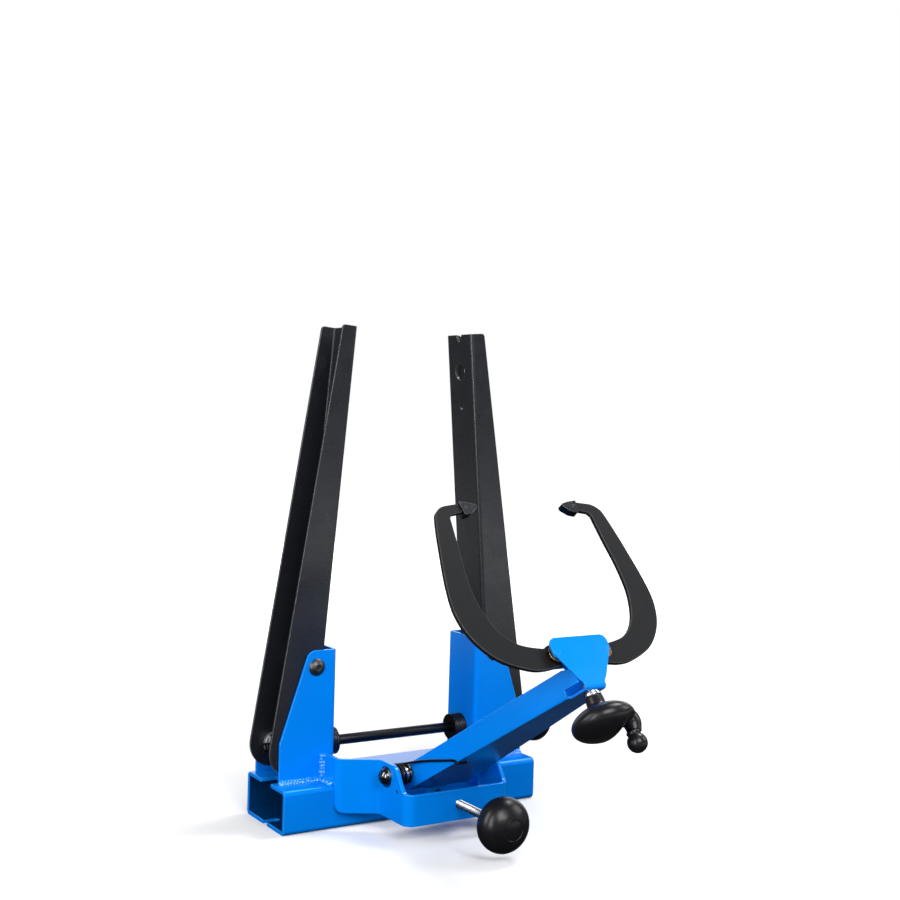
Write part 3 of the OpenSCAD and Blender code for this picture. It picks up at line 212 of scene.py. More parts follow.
def coated_steel(name, colour, rough, peel, depth, gloss, thin, tint=(1, 1, 1)):
    # Powder coat on sheet steel, baked from a sprayed powder: a skin with soft orange peel,
    # a little uneven in gloss, lighter in patches where it rounds a cut edge (partly thinner powder,
    # partly a painted highlight), and darkened inside a tube as painted shade
    material, tree, shader = blank(name)
    place = add(tree, "ShaderNodeTexCoord").outputs["Object"]
    cloud = add(tree, "ShaderNodeTexNoise", {"Vector": place, "Scale": grain(60 * MM), "Detail": 3.0})
    shade = add(tree, "ShaderNodeMix", {
        0: cloud.outputs["Fac"], 6: rgba(colour, 0.94), 7: rgba(colour, 1.05)}, data_type="RGBA")
    # Rounded cut edges lighten in patches toward the highlight's tint: partly thin powder, partly a painted
    # highlight
    edge = add(tree, "ShaderNodeAttribute", attribute_name="edge").outputs["Fac"]
    edge_patches = add(tree, "ShaderNodeTexNoise", {"Vector": place, "Scale": grain(5 * MM), "Detail": 4.0})
    edge_wear_and_sheen = add(tree, "ShaderNodeMath", {0: edge, 1: edge_patches.outputs["Fac"]}, operation="MULTIPLY")
    light = [c + (t - c) * thin for c, t in zip(colour, tint)]
    edged = add(tree, "ShaderNodeMix", {
        0: edge_wear_and_sheen.outputs[0], 6: shade.outputs[2], 7: rgba(light)}, data_type="RGBA")
    # Faces inside a tube take a dark copy of the coat's colour: painted shade for the shade inside the tube
    inner_shade_mask = add(tree, "ShaderNodeAttribute", attribute_name="inside").outputs["Fac"]
    inside_shade = 0.16
    coat = add(tree, "ShaderNodeMix", {
        0: inner_shade_mask, 6: edged.outputs[2], 7: rgba(colour, inside_shade)}, data_type="RGBA")
    haze = add(tree, "ShaderNodeTexNoise", {"Vector": place, "Scale": grain(18 * MM), "Detail": 5.0})
    dull = add(tree, "ShaderNodeMapRange", {
        "Value": haze.outputs["Fac"], "From Min": 0.3, "From Max": 0.7,
        "To Min": rough * 0.88, "To Max": rough * 1.14})
    # Peel is about 1 mm on the real coat and is drawn coarser, so that it shows at this distance
    skin = add(tree, "ShaderNodeTexNoise", {
        "Vector": place, "Scale": grain(peel), "Detail": 2.0, "Roughness": 0.4})
    bump = add(tree, "ShaderNodeBump", {
        "Height": skin.outputs["Fac"], "Strength": depth, "Distance": 0.2 * MM})
    tree.links.new(coat.outputs[2], shader.inputs["Base Color"])
    tree.links.new(dull.outputs["Result"], shader.inputs["Roughness"])
    tree.links.new(bump.outputs["Normal"], shader.inputs["Normal"])
    shader.inputs["IOR"].default_value = 1.5
    shader.inputs["Specular IOR Level"].default_value = gloss
    shader.inputs["Specular Tint"].default_value = rgba(tint)
    return material


def plated_steel(name, colour, rough, streak):
    # Steel with a thin plated or blackened skin: the turned surface shows through as fine
    # streaks, handling leaves cloudy patches, and the skin is thin and bright on the edges
    material, tree, shader = blank(name)
    place = add(tree, "ShaderNodeTexCoord").outputs["Object"]
    cloud = add(tree, "ShaderNodeTexNoise", {"Vector": place, "Scale": grain(12 * MM), "Detail": 4.0})
    shade = add(tree, "ShaderNodeMix", {
        0: cloud.outputs["Fac"], 6: rgba(colour, 0.82), 7: rgba(colour, 1.12)}, data_type="RGBA")
    edge = add(tree, "ShaderNodeAttribute", attribute_name="edge").outputs["Fac"]
    bright = add(tree, "ShaderNodeMath", {0: edge, 1: cloud.outputs["Fac"]}, operation="MULTIPLY")
    bare, showing = 0.62, 0.35
    light = [c + (bare - c) * showing if c < bare else c for c in colour]
    skin = add(tree, "ShaderNodeMix", {
        0: bright.outputs[0], 6: shade.outputs[2], 7: rgba(light)}, data_type="RGBA")
    # Tool marks are about 0.2 mm apart on real steel and are drawn coarser, so that they show
    squeeze = add(tree, "ShaderNodeMapping", {"Vector": place, "Scale": (1, 1, 6)})
    lines = add(tree, "ShaderNodeTexNoise", {
        "Vector": squeeze.outputs["Vector"], "Scale": grain(streak), "Detail": 3.0})
    dull = add(tree, "ShaderNodeMapRange", {
        "Value": lines.outputs["Fac"], "From Min": 0.3, "From Max": 0.7,
        "To Min": rough * 0.8, "To Max": rough * 1.2})
    bump = add(tree, "ShaderNodeBump", {
        "Height": lines.outputs["Fac"], "Strength": 0.12, "Distance": 0.05 * MM})
    tree.links.new(skin.outputs[2], shader.inputs["Base Color"])
    tree.links.new(dull.outputs["Result"], shader.inputs["Roughness"])
    tree.links.new(bump.outputs["Normal"], shader.inputs["Normal"])
    shader.inputs["Metallic"].default_value = 1.0
    return material


def moulded_plastic(name, colour, rough):
    # Black thermoset, pressed in a polished mould: even colour, a satin gloss, a faint waviness
    # from shrinking as it cooled, and a haze of fine rub marks from hands
    material, tree, shader = blank(name)
    place = add(tree, "ShaderNodeTexCoord").outputs["Object"]
    rubs = add(tree, "ShaderNodeTexNoise", {
        "Vector": place, "Scale": grain(9 * MM), "Detail": 6.0, "Roughness": 0.6})
    dull = add(tree, "ShaderNodeMapRange", {
        "Value": rubs.outputs["Fac"], "From Min": 0.35, "From Max": 0.7,
        "To Min": rough * 0.92, "To Max": rough * 1.2})
    shade = add(tree, "ShaderNodeMix", {
        0: rubs.outputs["Fac"], 6: rgba(colour, 0.9), 7: rgba(colour, 1.25)}, data_type="RGBA")
    wave = add(tree, "ShaderNodeTexNoise", {"Vector": place, "Scale": grain(14 * MM), "Detail": 1.0})
    bump = add(tree, "ShaderNodeBump", {
        "Height": wave.outputs["Fac"], "Strength": 0.03, "Distance": 0.4 * MM})
    tree.links.new(shade.outputs[2], shader.inputs["Base Color"])
    tree.links.new(dull.outputs["Result"], shader.inputs["Roughness"])
    tree.links.new(bump.outputs["Normal"], shader.inputs["Normal"])
    shader.inputs["IOR"].default_value = 1.52
    shader.inputs["Specular IOR Level"].default_value = 0.32
    return material


# Each finish: how it is made, its colour, that colour's share and lift, and its settings
FINISHES = {
    # Gloss powder on tube and sheet: a smooth, strongly coloured skin with broad highlights
    "blue_powder_coat": (coated_steel, "blue_coat", 1, 0, {
        "rough": 0.17, "peel": 2.2 * MM, "depth": 0.08, "gloss": 0.50, "thin": 0.14, "tint": (0.2, 0.62, 1)}),
    # The same powder flowed over weld ripples: it pools and glints on every crest
    "blue_coat_over_weld": (coated_steel, "blue_coat", 1, 0, {
        "rough": 0.08, "peel": 1.2 * MM, "depth": 0.06, "gloss": 1.0, "thin": 0.08, "tint": (0.8, 1, 1)}),
    # Satin powder on folded sheet: a fine peel that breaks up the highlights
    "black_powder_coat": (coated_steel, "black_coat", 1, 0, {
        "rough": 0.28, "peel": 1.6 * MM, "depth": 0.16, "gloss": 0.5, "thin": 0.10}),
    # Matte textured powder on cut plate: nearly no highlight
    "charcoal_matte_coat": (coated_steel, "finger_coat", 1, 0, {
        "rough": 0.50, "peel": 1.3 * MM, "depth": 0.30, "gloss": 0.13, "thin": 0.08}),
    # Clear zinc on turned steel: a bright, slightly milky mirror
    "zinc_plated_steel": (plated_steel, "zinc", 1, 0, {"rough": 0.24, "streak": 1.2 * MM}),
    # Handled zinc on cast or sawn steel: greyer, with no clear mirror
    "dull_zinc_steel": (plated_steel, "zinc", 0.8, 0, {"rough": 0.5, "streak": 1.2 * MM}),
    # Blackened and oiled steel: dark, with a soft metal sheen
    "black_oxide_steel": (plated_steel, "oxide", 1, 0, {"rough": 0.36, "streak": 1.2 * MM}),
    # Blackened over a polished head: dark, with sharp glints
    "polished_black_steel": (plated_steel, "oxide", 1, 0.10, {"rough": 0.15, "streak": 2.0 * MM}),
    # Blackened over a tumbled head: dark grey, with wide soft glints
    "satin_black_steel": (plated_steel, "oxide", 1, 0.06, {"rough": 0.42, "streak": 2.0 * MM}),
    # Drawn spring wire, tempered in oil: a thin black scale with lengthwise glints
    "oil_tempered_wire": (plated_steel, "oxide", 0.8, 0, {"rough": 0.32, "streak": 2.0 * MM}),
    # Turned bearing bronze: warm, with fine tool marks
    "turned_bronze": (plated_steel, "bronze", 1, 0, {"rough": 0.20, "streak": 0.9 * MM}),
    # Moulded thermoset of the knobs
    "black_moulded_plastic": (moulded_plastic, "knob_black", 1, 0, {"rough": 0.30}),
}


def finish(name):
    """The material of a finish, made when it is first asked for."""
    if name in bpy.data.materials:
        return bpy.data.materials[name]
    make, hue, share, lift, settings = FINISHES[name]
    colour = [c * share + lift for c in getattr(bpy.context.scene.stand_finishes, hue)]
    return make(name, colour, **settings)


def body_of(node):
    """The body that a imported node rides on."""
    return frame["nodes"][node]["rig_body"]


def joint(name):
    """Place and axis of a joint of the stand."""
    found = next(j for j in frame["joints"] if j["name"] == name)
    return Vector(found["pos_m"]), Vector(found["axis"]).normalized()


def reach(node, place, axis):
    """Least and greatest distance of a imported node's points along an axis from a place."""
    spots = [(v.co - place).dot(axis) for v in frame["nodes"][node].data.vertices]
    return min(spots), max(spots)


def half_height(node):
    """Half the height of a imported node, which is the radius of a round one that lies level."""
    low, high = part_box(node)
    return (high.z - low.z) / 2


def on_axis(place, axis, across):
    """Matrix whose z is the axis and whose x lies as near as it can to another direction."""
    z = axis.normalized()
    x = (across - across.dot(z) * z).normalized()
    turn = Matrix((x, z.cross(x), z)).transposed().to_4x4()
    return Matrix.Translation(place) @ turn


def settle(bm, name, look, node, sharp=35):
    """Makes a finished piece of a bmesh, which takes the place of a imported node."""
    mesh = bpy.data.meshes.new(name)
    bm.to_mesh(mesh)
    bm.free()
    mesh.shade_smooth()
    mesh.set_sharp_from_angle(angle=math.radians(sharp))
    piece = bpy.data.objects.new(name, mesh)
    bpy.context.scene.collection.objects.link(piece)
    mesh.materials.append(finish(look))
    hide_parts(node)
    return piece


def ride_with(piece, node):
    """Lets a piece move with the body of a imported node."""
    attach(piece, body_of(node))


def even_normals(piece):
    """Keeps flat faces flat beside their rounded edges."""
    piece.modifiers.new("Even normals", "WEIGHTED_NORMAL").keep_sharp = True


def soften(node, look, width, bends=None, radius=0.0, inside=None):
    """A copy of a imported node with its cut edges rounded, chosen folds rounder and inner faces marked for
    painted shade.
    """
    bm = bmesh.new()
    bm.from_mesh(frame["nodes"][node].data)
    bmesh.ops.remove_doubles(bm, verts=bm.verts, dist=SAME_POINT)
    flat, cut_angle = math.radians(0.6), math.radians(32)
    bmesh.ops.dissolve_limit(
        bm, angle_limit=flat, use_dissolve_boundaries=False, verts=bm.verts, edges=bm.edges)
    edge_wear_and_sheen = bm.faces.layers.float.new("edge")
    if bends:
        folds = [e for e in bm.edges if e.is_manifold and bends(e)]
        bmesh.ops.bevel(bm, geom=folds, offset=radius, offset_type="OFFSET", segments=5, profile=0.5,
                        affect="EDGES", clamp_overlap=False, material=-1)
    cut = [e for e in bm.edges if e.is_manifold and e.calc_face_angle() > cut_angle]
    rounded = bmesh.ops.bevel(bm, geom=cut, offset=width, offset_type="OFFSET", segments=2, profile=0.5,
                              affect="EDGES", clamp_overlap=False, material=-1)
    # Rounded edges are marked for the coat's lighter edge colour, partly wear and partly a painted highlight
    for face in rounded["faces"]:
        face[edge_wear_and_sheen] = 1.0
    if inside:
        # Faces inside are marked for the coat's painted shade
        bare = bm.faces.layers.float.new("inside")
        for face in bm.faces:
            face[bare] = float(inside(face.calc_center_median()))
    piece = settle(bm, node + "_dressed", look, node)
    even_normals(piece)
    ride_with(piece, node)


def spin_profile(bm, profile, steps):
    """Spins a profile of radius and height about z, closed where it meets the axis."""
    verts = [bm.verts.new((r, 0, h)) for r, h in profile]
    edges = [bm.edges.new(pair) for pair in zip(verts, verts[1:])]
    bmesh.ops.spin(bm, geom=verts + edges, cent=(0, 0, 0), axis=(0, 0, 1), angle=math.tau, steps=steps,
                   use_merge=True, use_normal_flip=False, use_duplicate=False)
    bmesh.ops.remove_doubles(bm, verts=bm.verts, dist=SAME_POINT)
    bmesh.ops.recalc_face_normals(bm, faces=bm.faces)


def wind_thread(bm, core, crest, low, high, pitch, hand=1):
    """Winds a thread's ridge on a core along z, from one height to another."""
    foot = core - 0.2 * MM
    steps_per_turn = 24
    # Radius of each corner of the ridge, and its height as a share of the pitch
    ridge = [(foot, 0.08), (crest, 0.38), (crest, 0.52), (foot, 0.82)]
    verts = [bm.verts.new((r, 0, low + k * pitch)) for r, k in ridge]
    edges = [bm.edges.new((verts[i], verts[i - 1])) for i in range(len(verts))]
    turns = (high - low) / pitch - 1
    steps = int(turns * steps_per_turn)
    bmesh.ops.spin(
        bm, geom=verts + edges, cent=(0, 0, 0), axis=(0, 0, hand), dvec=(0, 0, turns * pitch / steps),
        angle=turns * math.tau, steps=steps, use_merge=False, use_normal_flip=False, use_duplicate=False)
    ends = [e for e in bm.edges if e.is_boundary]
    bmesh.ops.holes_fill(bm, edges=ends, sides=4)
    bmesh.ops.recalc_face_normals(bm, faces=bm.faces)


def pour_tube(bm, path):
    """Pours a round tube into a bmesh, along points that hold a place and a radius."""
    curve = bpy.data.curves.new("tube_path", "CURVE")
    curve.dimensions = "3D"
    curve.bevel_depth = 1
    curve.bevel_resolution = 6
    curve.use_fill_caps = True
    line = curve.splines.new("POLY")
    line.points.add(len(path) - 1)
    for spot, point in zip(path, line.points):
        point.co = (*spot[:3], 1)
        point.radius = spot[3]
    shape = bpy.data.objects.new("tube_shape", curve)
    bpy.context.scene.collection.objects.link(shape)
    bpy.context.view_layer.update()
    mesh = bpy.data.meshes.new_from_object(shape.evaluated_get(bpy.context.evaluated_depsgraph_get()))
    bpy.data.objects.remove(shape)
    bpy.data.curves.remove(curve)
    bm.from_mesh(mesh)
    bpy.data.meshes.remove(mesh)
    bmesh.ops.remove_doubles(bm, verts=bm.verts, dist=SAME_POINT)
    bmesh.ops.recalc_face_normals(bm, faces=bm.faces)


def quarter(steps):
    """Angles from nothing to a right angle, in even steps."""
    return [math.radians(90 * k / steps) for k in range(steps + 1)]


def knob_profile(neck, ball, neck_len, length):
    """Profile of a ball knob from its neck to its front, with a shallow round seat in the front."""
    brow, back = length * 0.42, length * 0.25
    seat, seat_depth, seat_taper = 0.40 * ball, 0.6 * MM, 0.96
    middle, dome = neck_len + brow, length - brow
    points = [(0, 0), (neck - 0.8 * MM, 0), (neck - 0.2 * MM, 0.2 * MM), (neck, 0.9 * MM),
              (neck, neck_len * 0.55), (neck + 0.3 * MM, neck_len * 0.75), (neck + 1.4 * MM, neck_len * 0.93)]
    points += [(ball - back + back * math.sin(a), middle - 0.9 * brow * math.cos(a)) for a in quarter(12)]
    front = [(ball * math.cos(a), middle + dome * math.sin(a)) for a in quarter(24)[1:]]
    points += [p for p in front if p[0] > seat]
    rim = middle + dome * math.sqrt(1 - (seat / ball) ** 2)
    points += [(seat, rim), (seat - 0.35 * MM, rim - 0.05 * MM), (seat - 0.7 * MM, rim - seat_depth)]
    points += [(r * seat_taper, h - seat_depth) for r, h in front
               if r * seat_taper < seat - 0.9 * MM and r > 0.2 * MM]
    points.append((0, neck_len + length - seat_depth))
    return points


def smooth_line(points, steps):
    """A smooth line through points, as a list of places."""
    line = []
    for i in range(len(points) - 1):
        a, b = points[max(i - 1, 0)], points[i]
        c, d = points[i + 1], points[min(i + 2, len(points) - 1)]
        for k in range(steps):
            t = k / steps
            line.append(0.5 * (2 * b + (c - a) * t + (2 * a - 5 * b + 4 * c - d) * t * t
                               + (3 * b - a - 3 * c + d) * t * t * t))
    return line + [points[-1]]


def spring_path(pivot):
    """Route of the spring's wire: its short leg, its curls round the bolt and its leg along the arm."""
    rise = math.radians(30.3)
    radius, pitch, turns = 11.6 * MM, 4 * MM, 3.5
    per_turn, per_point = 32, 8
    left = -60.2 * MM
    hole = Vector((0, pivot.y - 23 * MM, pivot.z - radius))

    def beside(x, u, v):
        """A place given in millimetres across, along and above the risen arm."""
        return Vector((x * MM, pivot.y - u * MM * math.cos(rise) + v * MM * math.sin(rise),
                       pivot.z + u * MM * math.sin(rise) + v * MM * math.cos(rise)))

    leg = [Vector((-67.5 * MM, hole.y, hole.z)), Vector((-64.5 * MM, hole.y, hole.z)),
           Vector((left - 0.6 * MM, hole.y + 3.2 * MM, hole.z)), Vector((left, pivot.y - 9 * MM, hole.z))]
    curls = []
    for k in range(int(turns * per_turn) + 1):
        a = math.tau * k / per_turn
        curls.append(Vector((left + pitch * k / per_turn, pivot.y + radius * math.sin(a),
                             pivot.z - radius * math.cos(a))))
    far = [beside(-39.4, 34, 4), beside(-35.9, 70, -7), beside(-34.4, 89, -13), beside(-33.6, 95, -17.8),
           beside(-30.4, 96, -18.4), beside(-25.4, 96, -18.4), beside(-22.4, 96, -18.4)]
    near = smooth_line(leg + curls[:1], per_point)[:-1]
    return near + curls[:-1] + smooth_line(curls[-2:] + far, per_point)[per_point:]


class STAND_OT_base(bpy.types.Operator):
    """Base tube, brackets and front strap in blue powder coat"""

    bl_idname = "stand.base"
    bl_label = "Base, Brackets and Strap"

    def execute(self, context):
        edge = context.scene.stand_sizes.sheet_edge
        low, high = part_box("base_tube")

        def in_tube(spot):
            skin = 3 * MM
            return all(a + skin < c < b - skin for a, c, b in zip(low, spot, high))

        soften("base_tube", "blue_powder_coat", edge, inside=in_tube)
        for node in ("left_bracket", "right_bracket", "front_strap"):
            soften(node, "blue_powder_coat", edge)
        soften("height_nut", "blue_powder_coat", context.scene.stand_sizes.small_edge)
        return {"FINISHED"}


class STAND_OT_welds(bpy.types.Operator):
    """Rippled weld seams at the feet of the brackets and the legs of the strap"""

    bl_idname = "stand.welds"
    bl_label = "Weld Seams"

    def execute(self, context):
        step = context.scene.stand_sizes.ripple
        bracket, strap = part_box("right_bracket"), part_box("front_strap")
        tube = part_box("base_tube")
        seam_z, front_y, back_y = bracket[0].z, bracket[0].y, bracket[1].y
        web_x, leg_x = bracket[0].x, strap[1].x
        out, ahead = Vector((1, 0, 0)), Vector((0, -1, 0))
        # Start and end of each seam on the right side, and the two ways that its corner faces
        seams = [
            (Vector((leg_x + 4 * MM, front_y, seam_z)), Vector((bracket[1].x - 3 * MM, front_y, seam_z)),
             UP, ahead),
            (Vector((web_x, front_y + 8 * MM, seam_z)), Vector((web_x, back_y - 8 * MM, seam_z)),
             UP, -out),
            (Vector((leg_x, front_y, seam_z + 5 * MM)), Vector((leg_x, front_y, strap[1].z - 4 * MM)),
             out, ahead),
            (Vector((leg_x, front_y - 5 * MM, seam_z)), Vector((leg_x, tube[0].y + 7 * MM, seam_z)),
             out, UP),
        ]
        # Half sizes of a ripple, its lift and slant, and how far the welder's hand sways and swells it
        proud, wide, long = 4.0 * MM, 5.6 * MM, 4.0 * MM
        lift, slant = 0.6 * MM, 0.35
        sway, quiver, swell = 0.35 * MM, 0.2 * MM, 0.08
        bm = bmesh.new()
        for start, end, a, b in seams:
            run = end - start
            count = max(2, int(run.length / step))
            lean, across = (a + b).normalized(), (a - b).normalized()
            for side in (1, -1):
                for k in range(count + 1):
                    wander = sway * math.sin(2.1 * k + side) + quiver * math.sin(5.3 * k)
                    size = 1 + swell * math.sin(3.7 * k + 2 * side)
                    spot = start + run * k / count + across * wander + lean * lift
                    turn = on_axis(spot, run.normalized() + slant * lean, lean)
                    shape = turn @ Matrix.Diagonal((proud * size, wide * size, long, 1))
                    mirror = Matrix.Diagonal((side, 1, 1, 1))
                    bmesh.ops.create_icosphere(bm, subdivisions=3, radius=1, matrix=mirror @ shape)
        bmesh.ops.recalc_face_normals(bm, faces=bm.faces)
        ride_with(settle(bm, "weld_seams", "blue_coat_over_weld", "weld_beads", sharp=80), "weld_beads")
        return {"FINISHED"}


class STAND_OT_uprights(bpy.types.Operator):
    """The two folded uprights in satin black powder coat"""

    bl_idname = "stand.uprights"
    bl_label = "Uprights"

    def execute(self, context):
        for node in ("left_upright", "right_upright"):
            soften(node, "black_powder_coat", context.scene.stand_sizes.sheet_edge)
        return {"FINISHED"}


class STAND_OT_pivots(bpy.types.Operator):
    """Bolts, nuts, sleeves, washers, spacers and bushes of the three pivots"""

    bl_idname = "stand.pivots"
    bl_label = "Pivot Hardware"

    def execute(self, context):
        edge = context.scene.stand_sizes.small_edge
        soften("pivot_bolts", "satin_black_steel", edge)
        soften("pivot_nuts", "black_oxide_steel", edge)
        for node in ("arm_pivot_bolt", "arm_pivot_nut"):
            soften(node, "polished_black_steel", edge)
        for node in ("pivot_sleeves", "arm_spacers"):
            soften(node, "zinc_plated_steel", edge)
        for node in ("thrust_washers", "arm_bushes"):
            soften(node, "turned_bronze", edge * 0.6)
        return {"FINISHED"}


class STAND_OT_width_screw(bpy.types.Operator):
    """Cross rod with its two threads, collars, bushes and trunnion nuts"""

    bl_idname = "stand.width_screw"
    bl_label = "Cross Rod"

    def execute(self, context):
        sizes = context.scene.stand_sizes
        place, axis = joint("width_rod_turn")
        low, high = reach("cross_rod", place, axis)
        core = half_height("cross_rod")
        root, cut = core - THREAD_DEPTH, 1 * MM
        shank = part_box("rod_bushes")[1].x + cut
        coarse, fine_edge = sizes.thread * 1.6, sizes.small_edge * 0.5
        bm = bmesh.new()
        spin_profile(bm, [
            (0, low), (root - cut, low), (root, low + cut), (root, -shank - cut), (core, -shank),
            (core, shank), (root, shank + cut), (root, high - cut), (root - cut, high),
            (0, high)], sizes.around)
        wind_thread(bm, root, core, shank + cut, high - 2 * cut, coarse)
        wind_thread(bm, root, core, low + cut, -shank - cut, coarse, hand=-1)
        bmesh.ops.transform(bm, matrix=on_axis(place, axis, UP), verts=bm.verts)
        ride_with(settle(bm, "cross_rod_threaded", "black_oxide_steel", "cross_rod"), "cross_rod")
        soften("rod_collars", "black_oxide_steel", fine_edge)
        soften("collar_screws", "zinc_plated_steel", fine_edge)
        soften("rod_bushes", "turned_bronze", sizes.small_edge)
        for node in ("left_trunnion_nut", "right_trunnion_nut"):
            soften(node, "dull_zinc_steel", sizes.sheet_edge)
        return {"FINISHED"}


class STAND_OT_ball_knobs(bpy.types.Operator):
    """The ball knobs of the cross rod and the height screw"""

    bl_idname = "stand.ball_knobs"
    bl_label = "Ball Knobs"

    def execute(self, context):
        steps = context.scene.stand_sizes.around
        full_ball = 36 * MM
        # Node, joint, way along its axis, radius of the neck and its length where the ball doesn't set it
        for node, turn, way, neck, given in (("width_knob", "width_rod_turn", 1, 11 * MM, None),
                                             ("height_knob", "height_knob_turn", -1, 10 * MM, 16 * MM)):
            place, axis = joint(turn)
            axis = axis * way
            low, high = reach(node, place, axis)
            neck_len = given or high - low - full_ball
            bm = bmesh.new()
            spin_profile(bm, knob_profile(neck, half_height(node), neck_len, high - low - neck_len), steps)
            bmesh.ops.transform(bm, matrix=on_axis(place + axis * low, axis, UP), verts=bm.verts)
            ride_with(settle(bm, node + "_moulded", "black_moulded_plastic", node, sharp=50), node)
        return {"FINISHED"}


class STAND_OT_arm(bpy.types.Operator):
    """The folded calliper arm with its head plates"""

    bl_idname = "stand.arm"
    bl_label = "Calliper Arm"

    def execute(self, context):
        sizes = context.scene.stand_sizes
        fold_length, fold_angle, tail_height = 0.2, math.radians(60), 0.06

        def along_arm(edge):
            return edge.calc_length() > fold_length and edge.is_convex \
                and edge.calc_face_angle() > fold_angle and min(v.co.z for v in edge.verts) < tail_height

        soften("caliper_arm", "blue_powder_coat", sizes.sheet_edge * 0.7, along_arm, sizes.bend)
        soften("head_rear_plate", "blue_powder_coat", sizes.sheet_edge)
        soften("finger_pins", "blue_powder_coat", sizes.small_edge)
        return {"FINISHED"}


class STAND_OT_spring(bpy.types.Operator):
    """The wound return spring, one wire from the strap to the arm"""

    bl_idname = "stand.spring"
    bl_label = "Return Spring"

    def execute(self, context):
        pivot, _ = joint("arm_tilt")
        path = spring_path(pivot)
        bm = bmesh.new()
        pour_tube(bm, [(*spot, context.scene.stand_sizes.wire / 2) for spot in path])
        piece = settle(bm, "return_spring_wound", "oil_tempered_wire", "return_spring", sharp=60)
        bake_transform(piece)
        return {"FINISHED"}


class STAND_OT_fingers(bpy.types.Operator):
    """The two fingers with their tips, washers and the yoke that joins them"""

    bl_idname = "stand.fingers"
    bl_label = "Calliper Fingers"

    def execute(self, context):
        sizes = context.scene.stand_sizes
        for side in ("left", "right"):
            soften(side + "_finger", "charcoal_matte_coat", sizes.sheet_edge * 1.2)
            soften(side + "_finger_tip", "black_oxide_steel", sizes.small_edge)
            soften(side + "_tip_screw", "black_oxide_steel", sizes.small_edge * 0.5)
        soften("finger_washers", "turned_bronze", sizes.small_edge)
        soften("caliper_yoke", "zinc_plated_steel", sizes.small_edge)
        soften("yoke_pins", "zinc_plated_steel", sizes.small_edge)
        return {"FINISHED"}


class STAND_OT_crank(bpy.types.Operator):
    """The calliper screw with its crank knob and turning grip"""

    bl_idname = "stand.crank"
    bl_label = "Calliper Crank"

    def execute(self, context):
        sizes = context.scene.stand_sizes
        for node in ("caliper_screw", "crank_washer", "screw_collar", "grip_pin", "crank_bush"):
            soften(node, "zinc_plated_steel", sizes.small_edge)
        place, axis = joint("crank_turn")
        grip_at, _ = joint("grip_spin")
        down = -axis
        low, high = reach("crank_knob", place, down)
        grip_low, grip_high = reach("crank_grip", place, down)
        offset = (grip_at - place) - (grip_at - place).dot(axis) * axis
        self.knob(place, down, low, high, offset, sizes.around)
        self.grip(place + offset, down, grip_low, grip_high, offset, sizes.around)
        return {"FINISHED"}

    def knob(self, place, down, low, high, offset, steps):
        neck_len, radius = 9.4 * MM, 32 * MM
        half = (high - low - neck_len) / 2
        middle = neck_len + half
        bm = bmesh.new()
        spin_profile(bm, [
            (0, 0), (8.2 * MM, 0), (8.8 * MM, 0.3 * MM), (9 * MM, 1 * MM), (9.5 * MM, neck_len * 0.8),
            (10 * MM, neck_len), (12 * MM, neck_len * 1.25), (14 * MM, neck_len * 1.5),
            (0, neck_len * 1.5)], steps)
        # An egg whose lower side is hollowed where the horn bends down to the grip
        hollow, starts, fades = 0.55, 0.1, 0.6
        dome = bmesh.ops.create_uvsphere(bm, u_segments=steps, v_segments=36, radius=1)
        for vert in dome["verts"]:
            x, y, z = vert.co
            side = min(max((x - starts) / fades, 0), 1)
            side = side * side * (3 - 2 * side)
            vert.co = (radius * x, radius * y, middle + half * z * (1 - (hollow * side if z > 0 else 0)))
        # Places along the horn's middle with its radius there, in millimetres
        horn = [Vector(spot) * MM for spot in (
            (20, 0, 22.4, 8.5), (27, 0, 22.9, 9.6), (31.5, 0, 25.9, 10),
            (33, 0, 30.4, 9.4), (32.6, 0, 34.9, 8.2), (31.5, 0, 38.9, 7.2))]
        pour_tube(bm, smooth_line(horn, 8))
        bmesh.ops.transform(bm, matrix=on_axis(place + down * low, down, offset), verts=bm.verts)
        bmesh.ops.recalc_face_normals(bm, faces=bm.faces)
        piece = settle(bm, "crank_knob_moulded", "black_moulded_plastic", "crank_knob", sharp=60)
        ride_with(piece, "crank_knob")

    def grip(self, foot, down, low, high, offset, steps):
        ball = 10 * MM
        centre = high - low - ball
        points = [(0, 0), (6 * MM, 0), (6.9 * MM, 0.4 * MM), (7.2 * MM, 1.4 * MM), (6.6 * MM, 3.2 * MM),
                  (5.6 * MM, centre * 0.5)]
        for k in range(4, 31):
            a = math.radians(6 * k)
            points.append((ball * math.sin(a) if k < 30 else 0, centre - ball * math.cos(a)))
        bm = bmesh.new()
        spin_profile(bm, points, steps)
        bmesh.ops.transform(bm, matrix=on_axis(foot + down * low, down, offset), verts=bm.verts)
        piece = settle(bm, "crank_grip_moulded", "black_moulded_plastic", "crank_grip", sharp=60)
        ride_with(piece, "crank_grip")


class STAND_OT_height(bpy.types.Operator):
    """The threaded height screw with its pad"""

    bl_idname = "stand.height"
    bl_label = "Height Screw"

    def execute(self, context):
        sizes = context.scene.stand_sizes
        place, axis = joint("height_knob_turn")
        low, high = reach("height_screw", place, axis)
        core = half_height("height_screw")
        root, pin, tip, cut = core - THREAD_DEPTH, 3 * MM, high - 4 * MM, 1 * MM
        bm = bmesh.new()
        spin_profile(bm, [(0, low), (root, low), (root, tip - cut), (pin + 0.6 * MM, tip), (pin, tip),
                          (pin, high), (0, high)], sizes.around)
        wind_thread(bm, root, core, low, tip - cut, sizes.thread)
        bmesh.ops.transform(bm, matrix=on_axis(place, axis, UP), verts=bm.verts)
        ride_with(settle(bm, "height_screw_threaded", "zinc_plated_steel", "height_screw"), "height_screw")
        soften("height_pad", "black_oxide_steel", sizes.small_edge)
        return {"FINISHED"}


